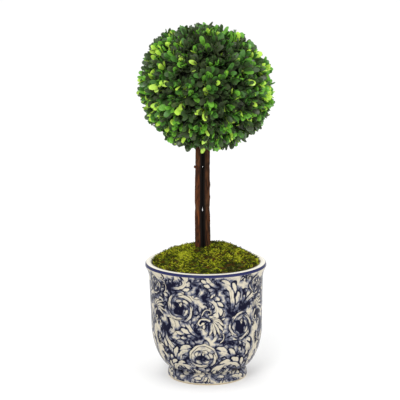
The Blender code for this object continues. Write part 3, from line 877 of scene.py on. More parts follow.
def mottled_material(name, roughness, scale, detail, low, relief, colours):
    """One noise that mixes two colours from low up, and gives relief this deep."""
    made, tree, shader = new_material(name, roughness)
    mottle = noise_at(tree, scale, detail)
    mixed = blend_colours(tree, spread(tree, mottle, low, high=0.7), *colours)
    tree.links.new(mixed, shader.inputs["Base Color"])
    bump(tree, shader, mottle, distance=relief)
    return made


def core_material():
    """The ball's inside: dead twigs and old leaves, in dark tints that are partly painted shade."""
    looks = {"roughness": 0.9, "scale": 240.0, "detail": 4.0, "low": 0.35, "relief": 0.002}
    return mottled_material("ball_inside", **looks, colours=(INSIDE_SHADE_DARK, INSIDE_SHADE_GREEN))


def earth_material():
    """Packed earth with crumbs."""
    looks = {"roughness": 0.95, "scale": 520.0, "detail": 5.0, "low": 0.3, "relief": 0.001}
    return mottled_material("packed_earth", **looks, colours=(EARTH_DARK, EARTH_PALE))


def plain_material(name, colour, roughness, **finish):
    """One colour and its gloss, for pieces of many small leaves that share a tint."""
    made, _, shader = new_material(name, roughness, **finish)
    shader.inputs["Base Color"].default_value = colour
    return made


def moss_material(name, tint):
    """Soft dull moss."""
    return plain_material(name, tint, roughness=0.8, Specular_IOR_Level=0.15)


def leaf_material(name, tint):
    """A waxy leaf of one tint that lets a little light through."""
    return plain_material(
        name,
        tint,
        roughness=0.30,
        Specular_IOR_Level=0.36,
        Subsurface_Weight=0.12,
        Subsurface_Radius=(0.5, 1.0, 0.15),
        Subsurface_Scale=0.0008,
    )


def make_piece(name, points, face_sets, finish, slot, *replaced):
    """A piece that rides on the root: one smooth mesh from an array of points and arrays of faces."""
    points = np.asarray(points, dtype=np.float32)
    face_sets = [np.asarray(faces, dtype=np.int32) for faces in face_sets]
    corners = np.concatenate([faces.ravel() for faces in face_sets])
    sizes = np.concatenate([np.full(len(faces), faces.shape[1]) for faces in face_sets])
    mesh = bpy.data.meshes.new(name)
    mesh.vertices.add(len(points))
    mesh.vertices.foreach_set("co", points.ravel())
    mesh.loops.add(len(corners))
    mesh.loops.foreach_set("vertex_index", corners)
    mesh.polygons.add(len(sizes))
    mesh.polygons.foreach_set("loop_start", np.concatenate(([0], np.cumsum(sizes)[:-1])))
    mesh.polygons.foreach_set("use_smooth", np.ones(len(sizes), dtype=bool))
    mesh.update(calc_edges=True)
    mesh.validate()
    mesh.materials.append(finish)
    made = bpy.data.objects.new(name, mesh)
    bpy.context.scene.collection.objects.link(made)
    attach(made, "root")
    if replaced:
        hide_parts(*replaced)
    return made


def carry(made, name, values):
    """Stores one value at each point of a mesh, for its material to read."""
    made.data.attributes.new(name, "FLOAT", "POINT").data.foreach_set("value", np.asarray(values, np.float32))


def ring_faces(rings, columns):
    """Quads between neighbouring rings of points, closed all round."""
    ring = np.arange(rings - 1)[:, None] * columns
    column = np.arange(columns)[None, :]
    after = (column + 1) % columns
    corners = (ring + column, ring + after, ring + columns + after, ring + columns + column)
    return np.stack(corners, axis=-1).reshape(-1, 4)


def fan_faces(middle, start, columns, flip=False):
    """Triangles from a middle point to one closed ring of points."""
    column = np.arange(columns)
    edge = (start + column, start + (column + 1) % columns)
    if flip:
        edge = edge[::-1]
    return np.stack((np.full(columns, middle), *edge), axis=-1)


def closed_faces(rings, columns, downwards=False):
    """Faces of a closed form: its rings of points, then a middle point for the first and for the last."""
    count = rings * columns
    first_cap = fan_faces(count, 0, columns, flip=not downwards)
    last_cap = fan_faces(count + 1, count - columns, columns, flip=downwards)
    sides = ring_faces(rings, columns)
    return [sides[:, ::-1] if downwards else sides, np.vstack((first_cap, last_cap))]


def pot_section():
    """Half section of the pot in three lines: its inside to the lip, its printed outside, its underside."""
    lip = POT_HEIGHT - LIP_HEIGHT
    inside = [(MIDDLE_RADIUS, FLOOR_HEIGHT)]
    inside += [(wall_radius(z) - WALL, z) for z in np.linspace(FLOOR_HEIGHT, LIP_HEIGHT, INSIDE_STEPS)]
    for share in CROWN:
        inside.append((RIM_RADIUS - WALL + LIP_ROUND * share, POT_HEIGHT - lip * CROWN_FALL * (1 - share)))
    outside = []
    for turn in np.linspace(math.pi / 2, 0.0, LIP_STEPS):
        reach = RIM_RADIUS - LIP_ROUND + LIP_ROUND * math.cos(turn)
        outside.append((reach, LIP_HEIGHT + lip * math.sin(turn)))
    outside += [(wall_radius(z), z) for z in np.linspace(LIP_HEIGHT, NECK_HEIGHT, WALL_STEPS)[1:]]
    for share in np.linspace(0.0, 1.0, FOOT_STEPS)[1:]:
        radius = NECK_RADIUS + (FOOT_RADIUS - NECK_RADIUS) * math.sin(math.pi / 2 * share)
        outside.append((radius, NECK_HEIGHT + (FOOT_EDGE - NECK_HEIGHT) * share))
    under = [(FOOT_RADIUS - inset, z) for inset, z in FOOT_ROUND]
    ring_inside = FOOT_RADIUS - FOOT_RING_WIDTH
    under += [(ring_inside, 0.0), (ring_inside - RECESS_SLOPE, FOOT_RECESS), (MIDDLE_RADIUS, FOOT_RECESS)]
    return np.array(inside), even_steps(np.array(outside), WALL_STEP), np.array(under)


def even_steps(points, step):
    """The same line with its points set evenly, about one step apart."""
    walked = walked_along(points)
    places = np.linspace(0.0, walked[-1], int(walked[-1] / step) + 1)
    return np.column_stack([np.interp(places, walked, points[:, axis]) for axis in (0, 1)])


def walked_along(line):
    """The distance from a line's start to each of its points."""
    return np.concatenate(([0.0], np.cumsum(np.hypot(*np.diff(line, axis=0).T))))


def make_pot(finish):
    """The glazed pot: a dense turned grid, cut into equal pieces that each carry one print."""
    inner, printed, under = pot_section()
    section = np.vstack((inner, printed, under))
    walked = walked_along(printed)
    rise = (walked[-1] - walked)[::-1]
    height = printed[::-1, 1]
    sheet = draw_print(rise, printed[::-1, 0], lambda z: float(np.interp(z, height, rise)))
    rows = np.arange(len(section))
    first, after = len(inner), len(inner) + len(printed)
    on_print = (rows >= first) & (rows < after)
    on_lip = on_print & (section[:, 1] > BAND[0])
    banded = on_lip & (section[:, 1] < BAND[1])
    # The plain lip and the inside, whitened partly as painted light
    plain_lip_and_painted_light = (rows < first) | (on_lip & ~banded)
    unglazed = (rows >= first) & (section[:, 1] < CLAY_HEIGHT)
    for number, name in enumerate(POT_PIECES):
        columns = np.arange(SECTOR_COLUMNS + 1) + int(SECTOR_COLUMNS * (number - 0.5))
        piece = turned_sector(name, section, columns * 2 * math.pi / (PRINT_SECTORS * SECTOR_COLUMNS), finish)
        # The wash carries the print with its painted shade and light
        for layer, pattern in (("line", sheet.line), ("wash", sheet.wash)):
            values = np.zeros((len(section), len(columns)))
            values[on_print] = pattern[::-1][:, columns % SECTOR_COLUMNS]
            values[on_lip] = 0.0
            carry(piece, layer, values.ravel())
        for layer, marked in (("lip", plain_lip_and_painted_light), ("band", banded), ("clay", unglazed)):
            carry(piece, layer, np.repeat(marked.astype(float), len(columns)))


def turned_sector(name, section, angles, finish):
    """A part of the turned pot between two angles, with a map that unrolls it."""
    radius, z = section[:, 0][:, None], section[:, 1][:, None]
    across = radius * np.sin(angles) + POT_LEAN * (1 - z / POT_HEIGHT)
    depth = -radius * np.cos(angles)
    points = np.stack((across, depth, np.broadcast_to(z, across.shape)), axis=-1).reshape(-1, 3)
    row = np.arange(len(section) - 1)[:, None] * len(angles)
    column = np.arange(len(angles) - 1)[None, :]
    corner = row + column
    faces = np.stack((corner, corner + 1, corner + 1 + len(angles), corner + len(angles)), axis=-1)
    piece = make_piece(name, points, [faces.reshape(-1, 4)[:, ::-1]], finish, "glaze", "pot")
    corners = np.zeros(len(piece.data.loops), dtype=np.int32)
    piece.data.loops.foreach_get("vertex_index", corners)
    walked = walked_along(section)
    across_share = (corners % len(angles)) / (len(angles) - 1)
    up_share = 1 - walked[corners // len(angles)] / walked[-1]
    layer = piece.data.uv_layers.new(name="OFBake")
    layer.data.foreach_set("uv", np.column_stack((across_share, up_share)).astype(np.float32).ravel())
    return piece


def moss_height(x, y):
    """Height of the moss at a place: a dome with soft lumps and one taller tuft beside the stems."""
    place = Vector((x, y))
    share = min(1.0, place.length / MOSS_RADIUS)
    dome = MOSS_DOME * (1 - share**MOSS_POWER)
    lump = noise.noise(Vector((x, y, 0.0)) / MOSS_LUMP_SIZE) * MOSS_LUMP * (1 - share**MOSS_LUMP_POWER)
    near = (place - MOSS_TUFT_AT).length / MOSS_TUFT_RADIUS
    tuft = MOSS_TUFT_HEIGHT * math.exp(-near * near)
    return MOSS_EDGE_HEIGHT + dome + lump + tuft * (1 - share)


def moss_place(x, y):
    """A point on the matted moss: its own height, small clumps on it, and the pot's lean."""
    z = moss_height(x, y) - MOSS_BED_DROP
    for layer, (size, rise) in enumerate(MOSS_CLUMPS):
        z += noise.noise(Vector((x, y, layer + CLUMP_LAYER)) / size) * rise
    return Vector((x + POT_LEAN * (1 - z / POT_HEIGHT), y, z))


def make_moss_bed(finish):
    """The matted moss that the fronds stand in, down to where the pot hides it."""
    rings = [MOSS_RADIUS * (ring + 1) / MOSS_RINGS for ring in range(MOSS_RINGS)]
    angles = [2 * math.pi * column / MOSS_COLUMNS for column in range(MOSS_COLUMNS)]
    points = []
    for radius in rings:
        points += [moss_place(radius * math.cos(turn), radius * math.sin(turn)) for turn in angles]
    low = wall_radius(MOSS_SHOULDER) - WALL
    points += [Vector((low * math.cos(turn), low * math.sin(turn), MOSS_SHOULDER)) for turn in angles]
    points += [moss_place(0.0, 0.0), Vector((0.0, 0.0, GROUND_HEIGHT))]
    faces = closed_faces(MOSS_RINGS + 1, MOSS_COLUMNS, downwards=True)
    make_piece("moss_bed", points, faces, finish, "moss", "moss")


def frond_form():
    """A moss frond of unit length along +Y, and its faces: a slim strand with pairs of pointed leaflets."""
    points, faces = [], []
    for along, size in FROND_SECTIONS:
        for corner in range(3):
            turn = 2 * math.pi * corner / 3
            across = FROND_WIDTH / FROND_LENGTH * size / 2
            points.append((across * math.cos(turn), along, across * math.sin(turn)))
    points.append((0.0, 1.0, 0.0))
    for corner in range(3):
        after = (corner + 1) % 3
        faces += [(corner, after, 3 + after), (corner, 3 + after, 3 + corner), (3 + corner, 3 + after, 6)]
    faces.append((0, 2, 1))
    reach = LEAFLET_LENGTH / FROND_LENGTH
    for along in LEAFLET_PLACES:
        for side in (-1, 1):
            size = reach * (LEAFLET_SIZES[0] - LEAFLET_SIZES[1] * along)
            first = len(points)
            points += [(0.0, along + shift, height) for shift, height in LEAFLET_ROOT]
            across, ahead, height = LEAFLET_TIP
            points.append((side * size * across, along + size * ahead, height))
            faces += [tuple(first + corner for corner in face) for face in LEAFLET_FACES]
    return np.array(points), np.array(faces)


def make_copies(name, form, face_sets, placed, finish, slot, replaced):
    """A piece of copies of one form, each with its placement and how far it bends up along its length."""
    copies = np.repeat(form[None, :, :], len(placed), axis=0)
    bends = np.array([bend for _, bend in placed])
    copies[:, :, 2] += bends[:, None] * copies[:, :, 1] ** 2
    matrices = np.array([[list(row) for row in place] for place, _ in placed])
    turned = np.einsum("nij,nkj->nki", matrices[:, :3, :3], copies)
    points = (turned + matrices[:, None, :3, 3]).reshape(-1, 3)
    shift = np.arange(len(placed))[:, None, None] * len(form)
    repeated = [(faces[None, :, :] + shift).reshape(-1, faces.shape[1]) for faces in face_sets]
    return make_piece(name, points, repeated, finish, slot, replaced)


def facing(axis, towards):
    """A rotation whose Y lies along one way and whose Z looks as nearly as it can along the other."""
    side = axis.cross(towards).normalized()
    up = side.cross(axis)
    return Matrix((side, axis, up)).transposed().to_4x4()


def make_moss_fronds(finishes):
    """Fronds strewn over the moss, leaning every way, and dealt out to the tints by patch."""
    rng = random.Random(SEED)
    form, faces = frond_form()
    dealt = {name: [] for name in finishes}
    for i in range(MOSS_FRONDS):
        radius = (MOSS_RADIUS - FROND_MARGIN) * math.sqrt((i + 0.5) / MOSS_FRONDS)
        radius = abs(radius + rng.uniform(-1, 1) * MOSS_SCATTER)
        turn = GOLDEN_TURN * i + rng.uniform(-1, 1) * MOSS_SCATTER / (radius + MOSS_SCATTER)
        x, y = radius * math.cos(turn), radius * math.sin(turn)
        root = moss_place(x, y)
        if any((root.xy - stem_middle(stem, root.z).xy).length < stem["foot"] for stem in STEMS.values()):
            continue
        ahead, beside = moss_place(x + SLOPE_STEP, y), moss_place(x, y + SLOPE_STEP)
        up = (ahead - root).cross(beside - root).normalized()
        away = Matrix.Rotation(rng.uniform(0, 2 * math.pi), 3, "Z") @ Vector((1.0, 0.0, 0.0))
        lean_out = rng.uniform(*FROND_LEANS)
        axis = (up * math.cos(lean_out) + away * math.sin(lean_out)).normalized()
        size = FROND_LENGTH * rng.uniform(*FROND_SIZES)
        if radius > MOSS_RADIUS - size:
            inwards = Vector((-x, -y, 0.0)).normalized()
            axis = (axis + inwards * FROND_TURN_IN + up * FROND_TURN_IN).normalized()
        place = Matrix.Translation(root) @ facing(axis, up) @ Matrix.Diagonal((size, size, size, 1.0))
        dealt[moss_tint(x, y, rng)].append((place, rng.uniform(*FROND_BENDS)))
    for name, fronds in dealt.items():
        make_copies(name, form, [faces], fronds, finishes[name], "moss", "moss")


def tint_of(tone, limits, brightest):
    """The first tint whose limit this tone is under, or else the brightest."""
    return next((name for name, limit in limits if tone < limit), brightest)


def moss_tint(x, y, rng):
    """Which tint a frond takes: patches of tone, and painted shade round the stems, in a few patches and near
    the pot.
    """
    tone = rng.uniform(-MOSS_TONE_SCATTER, MOSS_TONE_SCATTER)
    for layer, (size, strength) in enumerate(MOSS_PATCHES):
        tone += noise.noise(Vector((x, y, layer + TONE_LAYER)) / size) * strength
    tone -= MOSS_RIM_SHADE * smooth_share(math.hypot(x, y), MOSS_RIM_START * MOSS_RADIUS, MOSS_RADIUS)
    # Painted shade round the stems' foot and in a few other patches
    for place, shade, wide in MOSS_PAINTED_SHADE:
        tone -= swelling((Vector((x, y)) - place).length, 0.0, shade, wide)
    dry = noise.noise(Vector((x / MOSS_DRY_SIZE.x, y / MOSS_DRY_SIZE.y, 0.0)))
    if dry > MOSS_DRY_FROM and tone < MOSS_DRY_TONE:
        return "moss_fronds_brown"
    return tint_of(tone, MOSS_TINT_LIMITS, "moss_fronds_light")


def plain_radius(stem, z):
    """A stem's radius before its waists, tapering from its foot to its tip."""
    return stem["foot"] + (stem["tip"] - stem["foot"]) * smooth_share(z, GROUND_HEIGHT, STEM_TOP)


def stem_radius(stem, z):
    """A stem's radius with its waists."""
    return plain_radius(stem, z) - sum(swelling(z, *waist) for waist in WAISTS)


def stem_middle(stem, z):
    """A point on a stem's middle line: the two stand side by side, nearly straight, and taper together."""
    sway = STEM_SWAY * math.sin(2 * math.pi * z / SWAY_LENGTH)
    aside = stem["side"] * (plain_radius(stem, z) + STEM_GAP / 2)
    return Vector((STEM_SEAM_X + SWAY_SIDEWAYS * sway + aside, SWAY_IN_DEPTH * stem["side"] * sway, z))


def drawn_out_noise(place, size, seed):
    """Noise with its own size across and up, and its own part of the pattern for each seed."""
    across, up = size
    return noise.noise(Vector((place.x / across, place.y / across, place.z / up + seed)))


def bark_relief(place, seed):
    """How deep the bark is cracked, 0 to 1: long cracks that waver up the stem, and small scales."""
    crack = max(0.0, 1 - abs(drawn_out_noise(place, LONG_CRACKS, seed)) / CRACK_WIDTH)
    scale = max(0.0, drawn_out_noise(place, SMALL_SCALES, 2 * seed))
    return min(1.0, crack * CRACK_SHARE + scale * SCALE_SHARE)


def make_stem(name, finish):
    """One stem with its bark's relief, from under the moss to inside the ball, swollen to close the seam,
    with painted shade where it faces the seam.
    """
    stem = STEMS[name]
    points, cracks_and_seam_shade = [], []
    for z in np.linspace(GROUND_HEIGHT, STEM_TOP, BARK_RINGS):
        middle = stem_middle(stem, z)
        radius = stem_radius(stem, z)
        closed = 1 - sum(swelling(z, height, 1.0, length) for height, length in CHINKS)
        buds = sum(swelling(z, *bud) for bud in BUDS) if stem["side"] > 0 else 0.0
        for turn in np.linspace(0.0, 2 * math.pi, BARK_COLUMNS, endpoint=False):
            out = Vector((math.cos(turn), math.sin(turn), 0.0))
            crack = bark_relief(middle + out * radius, stem["bark"])
            away = out.x * stem["side"]
            to_seam = max(0.0, -away) ** 2
            swell = max(0.0, away) ** 2 * buds + to_seam * SEAM_BARK * closed
            points.append(middle + out * (radius + swell + BARK_DEPTH * (BARK_RAISED - crack)))
            # Dark in the cracks, and painted shade where the bark faces the seam
            cracks_and_seam_shade.append(max(crack, smooth_share(-away, *SEAM_SHADE)))
    points += [stem_middle(stem, GROUND_HEIGHT), stem_middle(stem, STEM_TOP)]
    faces = closed_faces(BARK_RINGS, BARK_COLUMNS)
    made = make_piece(name + "_bark", points, faces, finish, "bark", name)
    carry(made, "crack", cracks_and_seam_shade + [0.0, 0.0])


def make_stub(finish):
    """The stub of a cut twig on the left stem, with a flat cut end."""
    stem = STEMS["stem_left"]
    out = STUB_WAY.normalized()
    side = out.orthogonal().normalized()
    over = out.cross(side)
    start = stem_middle(stem, STUB_HEIGHT)
    knobs, around, along = STUB_KNOBS
    points = []
    for reach, size in STUB_SECTIONS:
        for turn in np.linspace(0.0, 2 * math.pi, STUB_COLUMNS, endpoint=False):
            knob = 1 + knobs * math.sin(around * turn + along * reach)
            spoke = side * math.cos(turn) + over * math.sin(turn)
            points.append(start + out * reach + spoke * STUB_RADIUS * size * knob)
    points.append(start + out * STUB_END)
    faces = ring_faces(len(STUB_SECTIONS), STUB_COLUMNS)
    cap = fan_faces(len(points) - 1, (len(STUB_SECTIONS) - 1) * STUB_COLUMNS, STUB_COLUMNS)
    stub = make_piece("stem_left_stub", points, [faces, cap], finish, "bark", "stem_left")
    carry(stub, "crack", [STUB_CRACK] * (len(points) - 1) + [STUB_END_CRACK])


def ball_reach(direction):
    """Distance from the ball's centre to its clipped surface: wider than tall, and a little uneven."""
    round_reach = 1 / math.hypot(direction.x / BALL_ACROSS, direction.y / BALL_ACROSS, direction.z / BALL_UP)
    uneven = sum(swelling(direction.angle(way), 0.0, rise, SWELL_SPREAD) for way, rise in SWELLS)
    return round_reach + uneven


def outside_ball(point, rise):
    """Whether a point lies beyond the clipped surface, raised here by rise."""
    offset = point - BALL_CENTRE
    return offset.length > ball_reach(offset.normalized()) + rise


def touches_stem(point):
    """Whether a point inside the ball lies in a stem or too near to it."""
    for stem in STEMS.values():
        middle = stem_middle(stem, point.z)
        if (point - middle).length < stem_radius(stem, point.z) + STEM_GUARD:
            return point.z < STEM_TOP + STEM_GUARD
    return False


def even_directions(count):
    """Directions spread evenly over a sphere along one golden spiral."""
    found = []
    for i in range(count):
        z = 1 - 2 * (i + 0.5) / count
        ring = math.sqrt(1 - z * z)
        turn = GOLDEN_TURN * i
        found.append(Vector((ring * math.cos(turn), ring * math.sin(turn), z)))
    return found


def leaf_form():
    """A boxwood leaf along +Y in unit length and half width, and its faces: cupped, with a thick middle."""
    points = [(0.0, 0.0, 0.0)]
    for along, half in LEAF_OUTLINE:
        rim = LEAF_CUP * half
        points += [(-half, along, rim), (0.0, along, LEAF_SPINE / 2)]
        points += [(half, along, rim), (0.0, along, -LEAF_SPINE)]
    points.append((0.0, 1.0, LEAF_TIP_RISE))
    quads, triangles = [], []
    for corner in range(4):
        after = (corner + 1) % 4
        triangles.append((0, 1 + after, 1 + corner))
        tip, last = len(points) - 1, len(points) - 5
        triangles.append((tip, last + corner, last + after))
        for station in range(len(LEAF_OUTLINE) - 1):
            low, high = 1 + 4 * station, 5 + 4 * station
            quads.append((low + corner, low + after, high + after, high + corner))
    return np.array(points), [np.array(quads), np.array(triangles)]


def twig_form():
    """A three-sided twig of unit length and radius along +Y, slimmer at its tip."""
    points = []
    for along, size in ((0.0, 1.0), (1.0, TWIG_TAPER)):
        for corner in range(3):
            turn = 2 * math.pi * corner / 3
            points.append((size * math.cos(turn), along, size * math.sin(turn)))
    sides = np.array([(0, 3, 4, 1), (1, 4, 5, 2), (2, 5, 3, 0)])
    ends = np.array([(0, 1, 2), (3, 5, 4)])
    return np.array(points), [sides, ends]


def sprig(direction, rise, rng):
    """One sprig that stands out of the core: a twig with leaves in opposite pairs, each turned from the last.

    It returns the placement of the twig, and for each pair the placements of the leaves that stay in the
    ball's space and off the stems.
    """
    side = direction.orthogonal().normalized()
    side = Matrix.Rotation(rng.uniform(0, 2 * math.pi), 3, direction) @ side
    tilt = Matrix.Rotation(rng.uniform(-1, 1) * SPRIG_TILT, 3, side)
    axis = tilt @ direction
    surface = ball_reach(direction)
    twig_depth = LEAF_PAIRS[0][0] + TWIG_ROOT
    tip_depth = LEAF_PAIRS[-1][0] - TWIG_END
    root = BALL_CENTRE + direction * (surface - twig_depth)
    length = twig_depth - tip_depth + rise
    vigour = rng.uniform(*SPRIG_SIZES)
    pairs = []
    for pair, (depth, angle, share) in enumerate(LEAF_PAIRS):
        start = root + axis * (twig_depth - depth + rise * (pair + 1) / len(LEAF_PAIRS))
        leaves = []
        for half in (0, 1):
            around = math.radians(90 * pair + 180 * half) + rng.uniform(-LEAF_TURN, LEAF_TURN)
            out = Matrix.Rotation(around, 3, axis) @ side
            lean_out = angle + rng.uniform(*LEAF_NOD)
            along = (axis * math.cos(lean_out) + out * math.sin(lean_out)).normalized()
            size = LEAF_LENGTH * share * vigour * rng.uniform(*LEAF_SIZES)
            roll = Matrix.Rotation(rng.uniform(-1, 1) * LEAF_ROLL, 4, "Y")
            points = [start + along * size * step / LEAF_CHECKS for step in range(LEAF_CHECKS + 1)]
            if outside_ball(points[-1], rise) or any(map(touches_stem, points)):
                continue
            width = LEAF_WIDTH * size / LEAF_LENGTH
            scale = Matrix.Diagonal((width / 2, size, size, 1.0))
            leaves.append(Matrix.Translation(start) @ facing(along, axis) @ roll @ scale)
        pairs.append(leaves)
    twig = Matrix.Translation(root) @ facing(axis, side)
    return twig @ Matrix.Diagonal((TWIG_RADIUS, length, TWIG_RADIUS, 1.0)), pairs


def leaf_tint(pair, sprig_tone, growth_and_light, rng):
    """Which tint: old inner leaves are dark, and patches of growth and painted light and shade make others
    light or lime.
    """
    outer = pair / (len(LEAF_PAIRS) - 1)
    lime = LIME_SHARE * (1 + growth_and_light) + max(0.0, growth_and_light) * LIME_IN_PATCH
    if pair >= 1 and rng.random() < lime * (LIME_LEAST + LIME_BY_SPRIG * sprig_tone):
        return "leaves_lime"
    tone = TONE_OUTER * outer + TONE_SPRIG * sprig_tone + TONE_GROWTH_AND_LIGHT * growth_and_light
    tone += rng.uniform(-TONE_SCATTER, TONE_SCATTER)
    return tint_of(tone, LEAF_TINT_LIMITS, "leaves_light")


def make_core(finish):
    """The inside of the ball, dark partly as painted shade, roughened like packed twigs."""
    often, deep = CORE_ROUGH
    points = []
    for ring in range(1, CORE_RINGS):
        rise = math.pi * ring / CORE_RINGS
        for column in range(CORE_COLUMNS):
            turn = 2 * math.pi * column / CORE_COLUMNS
            flat = math.sin(rise)
            direction = Vector((flat * math.cos(turn), flat * math.sin(turn), -math.cos(rise)))
            rough = noise.noise(direction * often) * deep
            points.append(BALL_CENTRE + direction * (ball_reach(direction) - CORE_DEPTH + rough))
    for way in (-1, 1):
        direction = Vector((0.0, 0.0, way))
        points.append(BALL_CENTRE + direction * (ball_reach(direction) - CORE_DEPTH))
    faces = closed_faces(CORE_RINGS - 1, CORE_COLUMNS)
    make_piece("ball_inside", points, faces, finish, "leaves", "boxwood_ball")


def make_ball(core_finish, twig_finish, leaf_finishes):
    """The clipped ball: sprigs all round a smaller core, their leaves joined by tint."""
    rng = random.Random(SEED)
    stands = []
    for direction in even_directions(SPRIGS):
        scatter = Vector(rng.uniform(-1, 1) * SPRIG_SCATTER for _ in range(3))
        stands.append(((direction + scatter).normalized(), -SHORTER_SPRIG * rng.random() ** 2))
    stands += [(direction.normalized(), TUFT_RISE) for direction in TUFTS]
    dealt = {name: [] for name in leaf_finishes}
    twigs = []
    for direction, rise in stands:
        twig, pairs = sprig(direction, rise, rng)
        if any(pairs):
            twigs.append((twig, 0.0))
        sprig_tone = rng.random()
        # Patches of growth and of painted light and shade: lighter leaves at the ball's left and right,
        # darker on its front and top
        growth_and_light = sum(swelling(direction.angle(way), 0.0, much, wide) for way, wide, much in GROWTH_AND_PAINTED_LIGHT_PATCHES)
        for pair, leaves in enumerate(pairs):
            for place in leaves:
                name = leaf_tint(pair, sprig_tone, growth_and_light, rng)
                dealt[name].append((place, rng.uniform(*LEAF_BENDS) * LEAF_BEND))
    make_core(core_finish)
    make_copies("ball_twigs", *twig_form(), twigs, twig_finish, "leaves", "boxwood_ball")
    form, faces = leaf_form()
    for name, leaves in dealt.items():
        piece = make_copies(name, form, faces, leaves, leaf_finishes[name], "leaves", "boxwood_ball")
        crease_rims(piece, len(form))


def crease_rims(piece, points_each):
    """Keeps a leaf's rim crisp: an edge is sharp where both its ends lie on the outline."""
    ends = np.zeros(2 * len(piece.data.edges), dtype=np.int32)
    piece.data.edges.foreach_get("vertices", ends)
    within = ends % points_each
    on_rim = (within == 0) | (within == points_each - 1) | (within % 2 == 1)
    sharp = on_rim.reshape(-1, 2).all(axis=1)
    piece.data.attributes.new("sharp_edge", "BOOLEAN", "EDGE").data.foreach_set("value", sharp)


# How unevenly the washes take, and between which washes the glaze turns from cream to blue and from blue to
# navy, and a line is inked
BLOT = 0.26
BLUE_WASHES = (0.12, 0.58)
NAVY_WASHES = (0.46, 0.94)
INKED_LINES = (0.25, 0.75)
# Colours, as they look on the object
CREAM = screen_colour(198, 190, 170)
CREAM_SHADE = screen_colour(186, 178, 158)
# The plain lip's white, partly painted light
LIP_WHITE_AND_PAINTED_LIGHT = screen_colour(232, 227, 212)
BLUE_WASH = screen_colour(98, 102, 120)
NAVY = screen_colour(13, 14, 35)
BAND_BLUE = screen_colour(40, 43, 80)
CLAY = screen_colour(188, 164, 122)
BARK_PALE_LEFT = screen_colour(100, 52, 22)
BARK_DARK_LEFT = screen_colour(46, 24, 12)
BARK_PALE_RIGHT = screen_colour(80, 44, 18)
BARK_DARK_RIGHT = screen_colour(34, 20, 11)
BARK_GREY = screen_colour(88, 58, 34)
# The dark of the cracks and of the painted shade along the seam
BARK_CRACK_AND_SEAM_SHADE = screen_colour(10, 7, 5)
MOSS_DEEP = screen_colour(44, 42, 12)
MOSS_OLIVE = screen_colour(98, 100, 28)
MOSS_BROWN = screen_colour(84, 58, 26)
# The ball's inside: dead twigs and old leaves, darkened partly as painted shade
INSIDE_SHADE_DARK = screen_colour(30, 36, 26)
INSIDE_SHADE_GREEN = screen_colour(48, 58, 38)
TWIG_GREEN = screen_colour(84, 92, 44)
EARTH_DARK = screen_colour(38, 27, 19)
EARTH_PALE = screen_colour(82, 62, 44)
MOSS_TINTS = {
    "moss_fronds_brown": screen_colour(98, 64, 14),
    "moss_fronds_deep": screen_colour(40, 50, 6),
    "moss_fronds_olive": screen_colour(66, 72, 2),
    "moss_fronds_green": screen_colour(122, 138, 4),
    "moss_fronds_light": screen_colour(204, 208, 50),
}
LEAF_TINTS = {
    "leaves_dark": screen_colour(62, 74, 48),
    "leaves_deep": screen_colour(64, 86, 50),
    "leaves_mid": screen_colour(72, 118, 50),
    "leaves_light": screen_colour(108, 168, 58),
    "leaves_lime": screen_colour(184, 224, 84),
}
LEAF_TINT_LIMITS = (("leaves_dark", 0.48), ("leaves_deep", 0.80), ("leaves_mid", 1.04))
# Where the ball's leaves are lighter, or darker below zero: partly fresh and old growth, partly painted light
# on the ball's left and right sides and painted shade on its upper front, front and upper back; each patch's
# middle, its spread in radians and how much it tells
GROWTH_AND_PAINTED_LIGHT_PATCHES = (
    (Vector((0.96, -0.10, 0.26)), 0.42, 0.75),
    (Vector((0.97, -0.15, -0.12)), 0.34, 0.8),
    (Vector((-0.98, -0.10, -0.18)), 0.36, 0.7),
    (Vector((-0.70, -0.20, 0.70)), 0.30, 0.8),
    (Vector((0.15, -0.15, 0.98)), 0.20, 0.9),
    (Vector((0.30, 0.90, 0.30)), 0.40, 1.0),
    (Vector((-0.50, 0.85, -0.10)), 0.34, 1.0),
    (Vector((-0.62, -0.77, 0.10)), 0.25, 0.3),
    (Vector((0.15, -0.62, 0.77)), 0.50, -0.5),
    (Vector((0.20, -0.96, -0.20)), 0.30, -0.1),
    (Vector((0.0, 0.50, 0.85)), 0.60, -0.4),
)
# How much a leaf's place on its sprig, the sprig's own tone, its patch of growth and painted light and shade,
# and chance set its tint, and how often an outer leaf is lime: everywhere, more in a patch of growth and
# painted light, and from least to most by the sprig's tone
TONE_OUTER = 0.55
TONE_SPRIG = 0.50
TONE_GROWTH_AND_LIGHT = 0.40
TONE_SCATTER = 0.58
LIME_SHARE = 0.055
LIME_IN_PATCH = 0.34
LIME_LEAST = 0.4
LIME_BY_SPRIG = 1.2


def make_floor():
    """A plain pale floor."""
    half = FLOOR_SIZE / 2
    mesh = bpy.data.meshes.new("floor")
    corners = [(-half, -half, 0), (half, -half, 0), (half, half, 0), (-half, half, 0)]
    mesh.from_pydata(corners, [], [(0, 1, 2, 3)])
    mesh.materials.append(plain_material("floor_white", FLOOR_WHITE, roughness=0.9))
    floor = bpy.data.objects.new("floor", mesh)
    bpy.context.scene.collection.objects.link(floor)


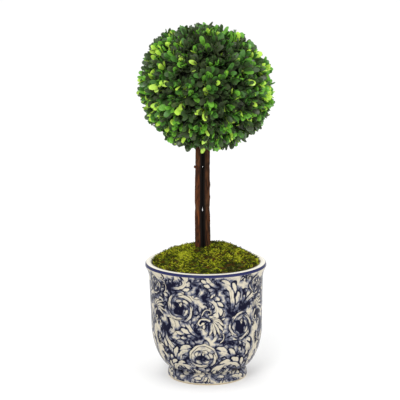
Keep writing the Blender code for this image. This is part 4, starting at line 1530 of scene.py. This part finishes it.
def make_sky():
    """Soft white light all round, weaker from the front."""
    world = bpy.data.worlds.new("studio")
    world.use_nodes = True
    tree = world.node_tree
    direction = new_node(tree, "ShaderNodeTexCoord").outputs["Generated"]
    to_front = new_node(tree, "ShaderNodeVectorMath", operation="DOT_PRODUCT")
    tree.links.new(direction, to_front.inputs[0])
    to_front.inputs[1].default_value = FRONT
    strength = spread(tree, to_front.outputs["Value"], *SKY_CHANGE, SKY_LIGHT, SKY_FRONT_LIGHT)
    tree.links.new(strength, tree.nodes["Background"].inputs["Strength"])
    tree.nodes["Background"].inputs["Color"].default_value = WHITE
    bpy.context.scene.world = world


def place_in_scene(name, made, place, ahead):
    """Puts a lamp or a camera at a place, looking ahead."""
    placed = bpy.data.objects.new(name, made)
    placed.location = place
    placed.rotation_euler = ahead.to_track_quat("-Z", "Y").to_euler()
    bpy.context.scene.collection.objects.link(placed)
    return placed


def make_lamps():
    """Large soft lamps that look at the object."""
    for name, (place, size, power) in LAMPS.items():
        lamp = bpy.data.lights.new(name, "AREA")
        lamp.shape = "DISK"
        lamp.size = size
        lamp.energy = power
        place_in_scene(name, lamp, place, CAMERA_TARGET - Vector(place))


def make_camera():
    """The camera at the photo's angle."""
    camera = bpy.data.cameras.new("camera")
    camera.lens = CAMERA_LENS
    camera.shift_x, camera.shift_y = CAMERA_SHIFT
    camera.clip_start = CAMERA_NEAR
    back = Vector((0.0, -math.cos(CAMERA_RISE), math.sin(CAMERA_RISE)))
    bpy.context.scene.camera = place_in_scene("camera", camera, CAMERA_TARGET + back * CAMERA_DISTANCE, -back)


def make_stage():
    """The floor, the light and the camera, and colours shown as they are."""
    make_floor()
    make_sky()
    make_lamps()
    make_camera()
    bpy.context.scene.view_settings.view_transform = "Standard"


def dress():
    """Every piece of the plant and its pot."""
    make_pot(glaze_material())
    make_moss_bed(bed_material())
    make_moss_fronds({name: moss_material(name, tint) for name, tint in MOSS_TINTS.items()})
    left_bark = bark_material("bark_left", BARK_PALE_LEFT, BARK_DARK_LEFT)
    right_bark = bark_material("bark_right", BARK_PALE_RIGHT, BARK_DARK_RIGHT)
    make_stem("stem_left", left_bark)
    make_stem("stem_right", right_bark)
    make_stub(left_bark)
    twig_bark = plain_material("green_twig", TWIG_GREEN, roughness=0.7)
    leaf_finishes = {name: leaf_material(name, tint) for name, tint in LEAF_TINTS.items()}
    make_ball(core_material(), twig_bark, leaf_finishes)
    fill = NODES["planting_fill"]
    fill.data.materials.clear()
    fill.data.materials.append(earth_material())


dress()
make_stage()
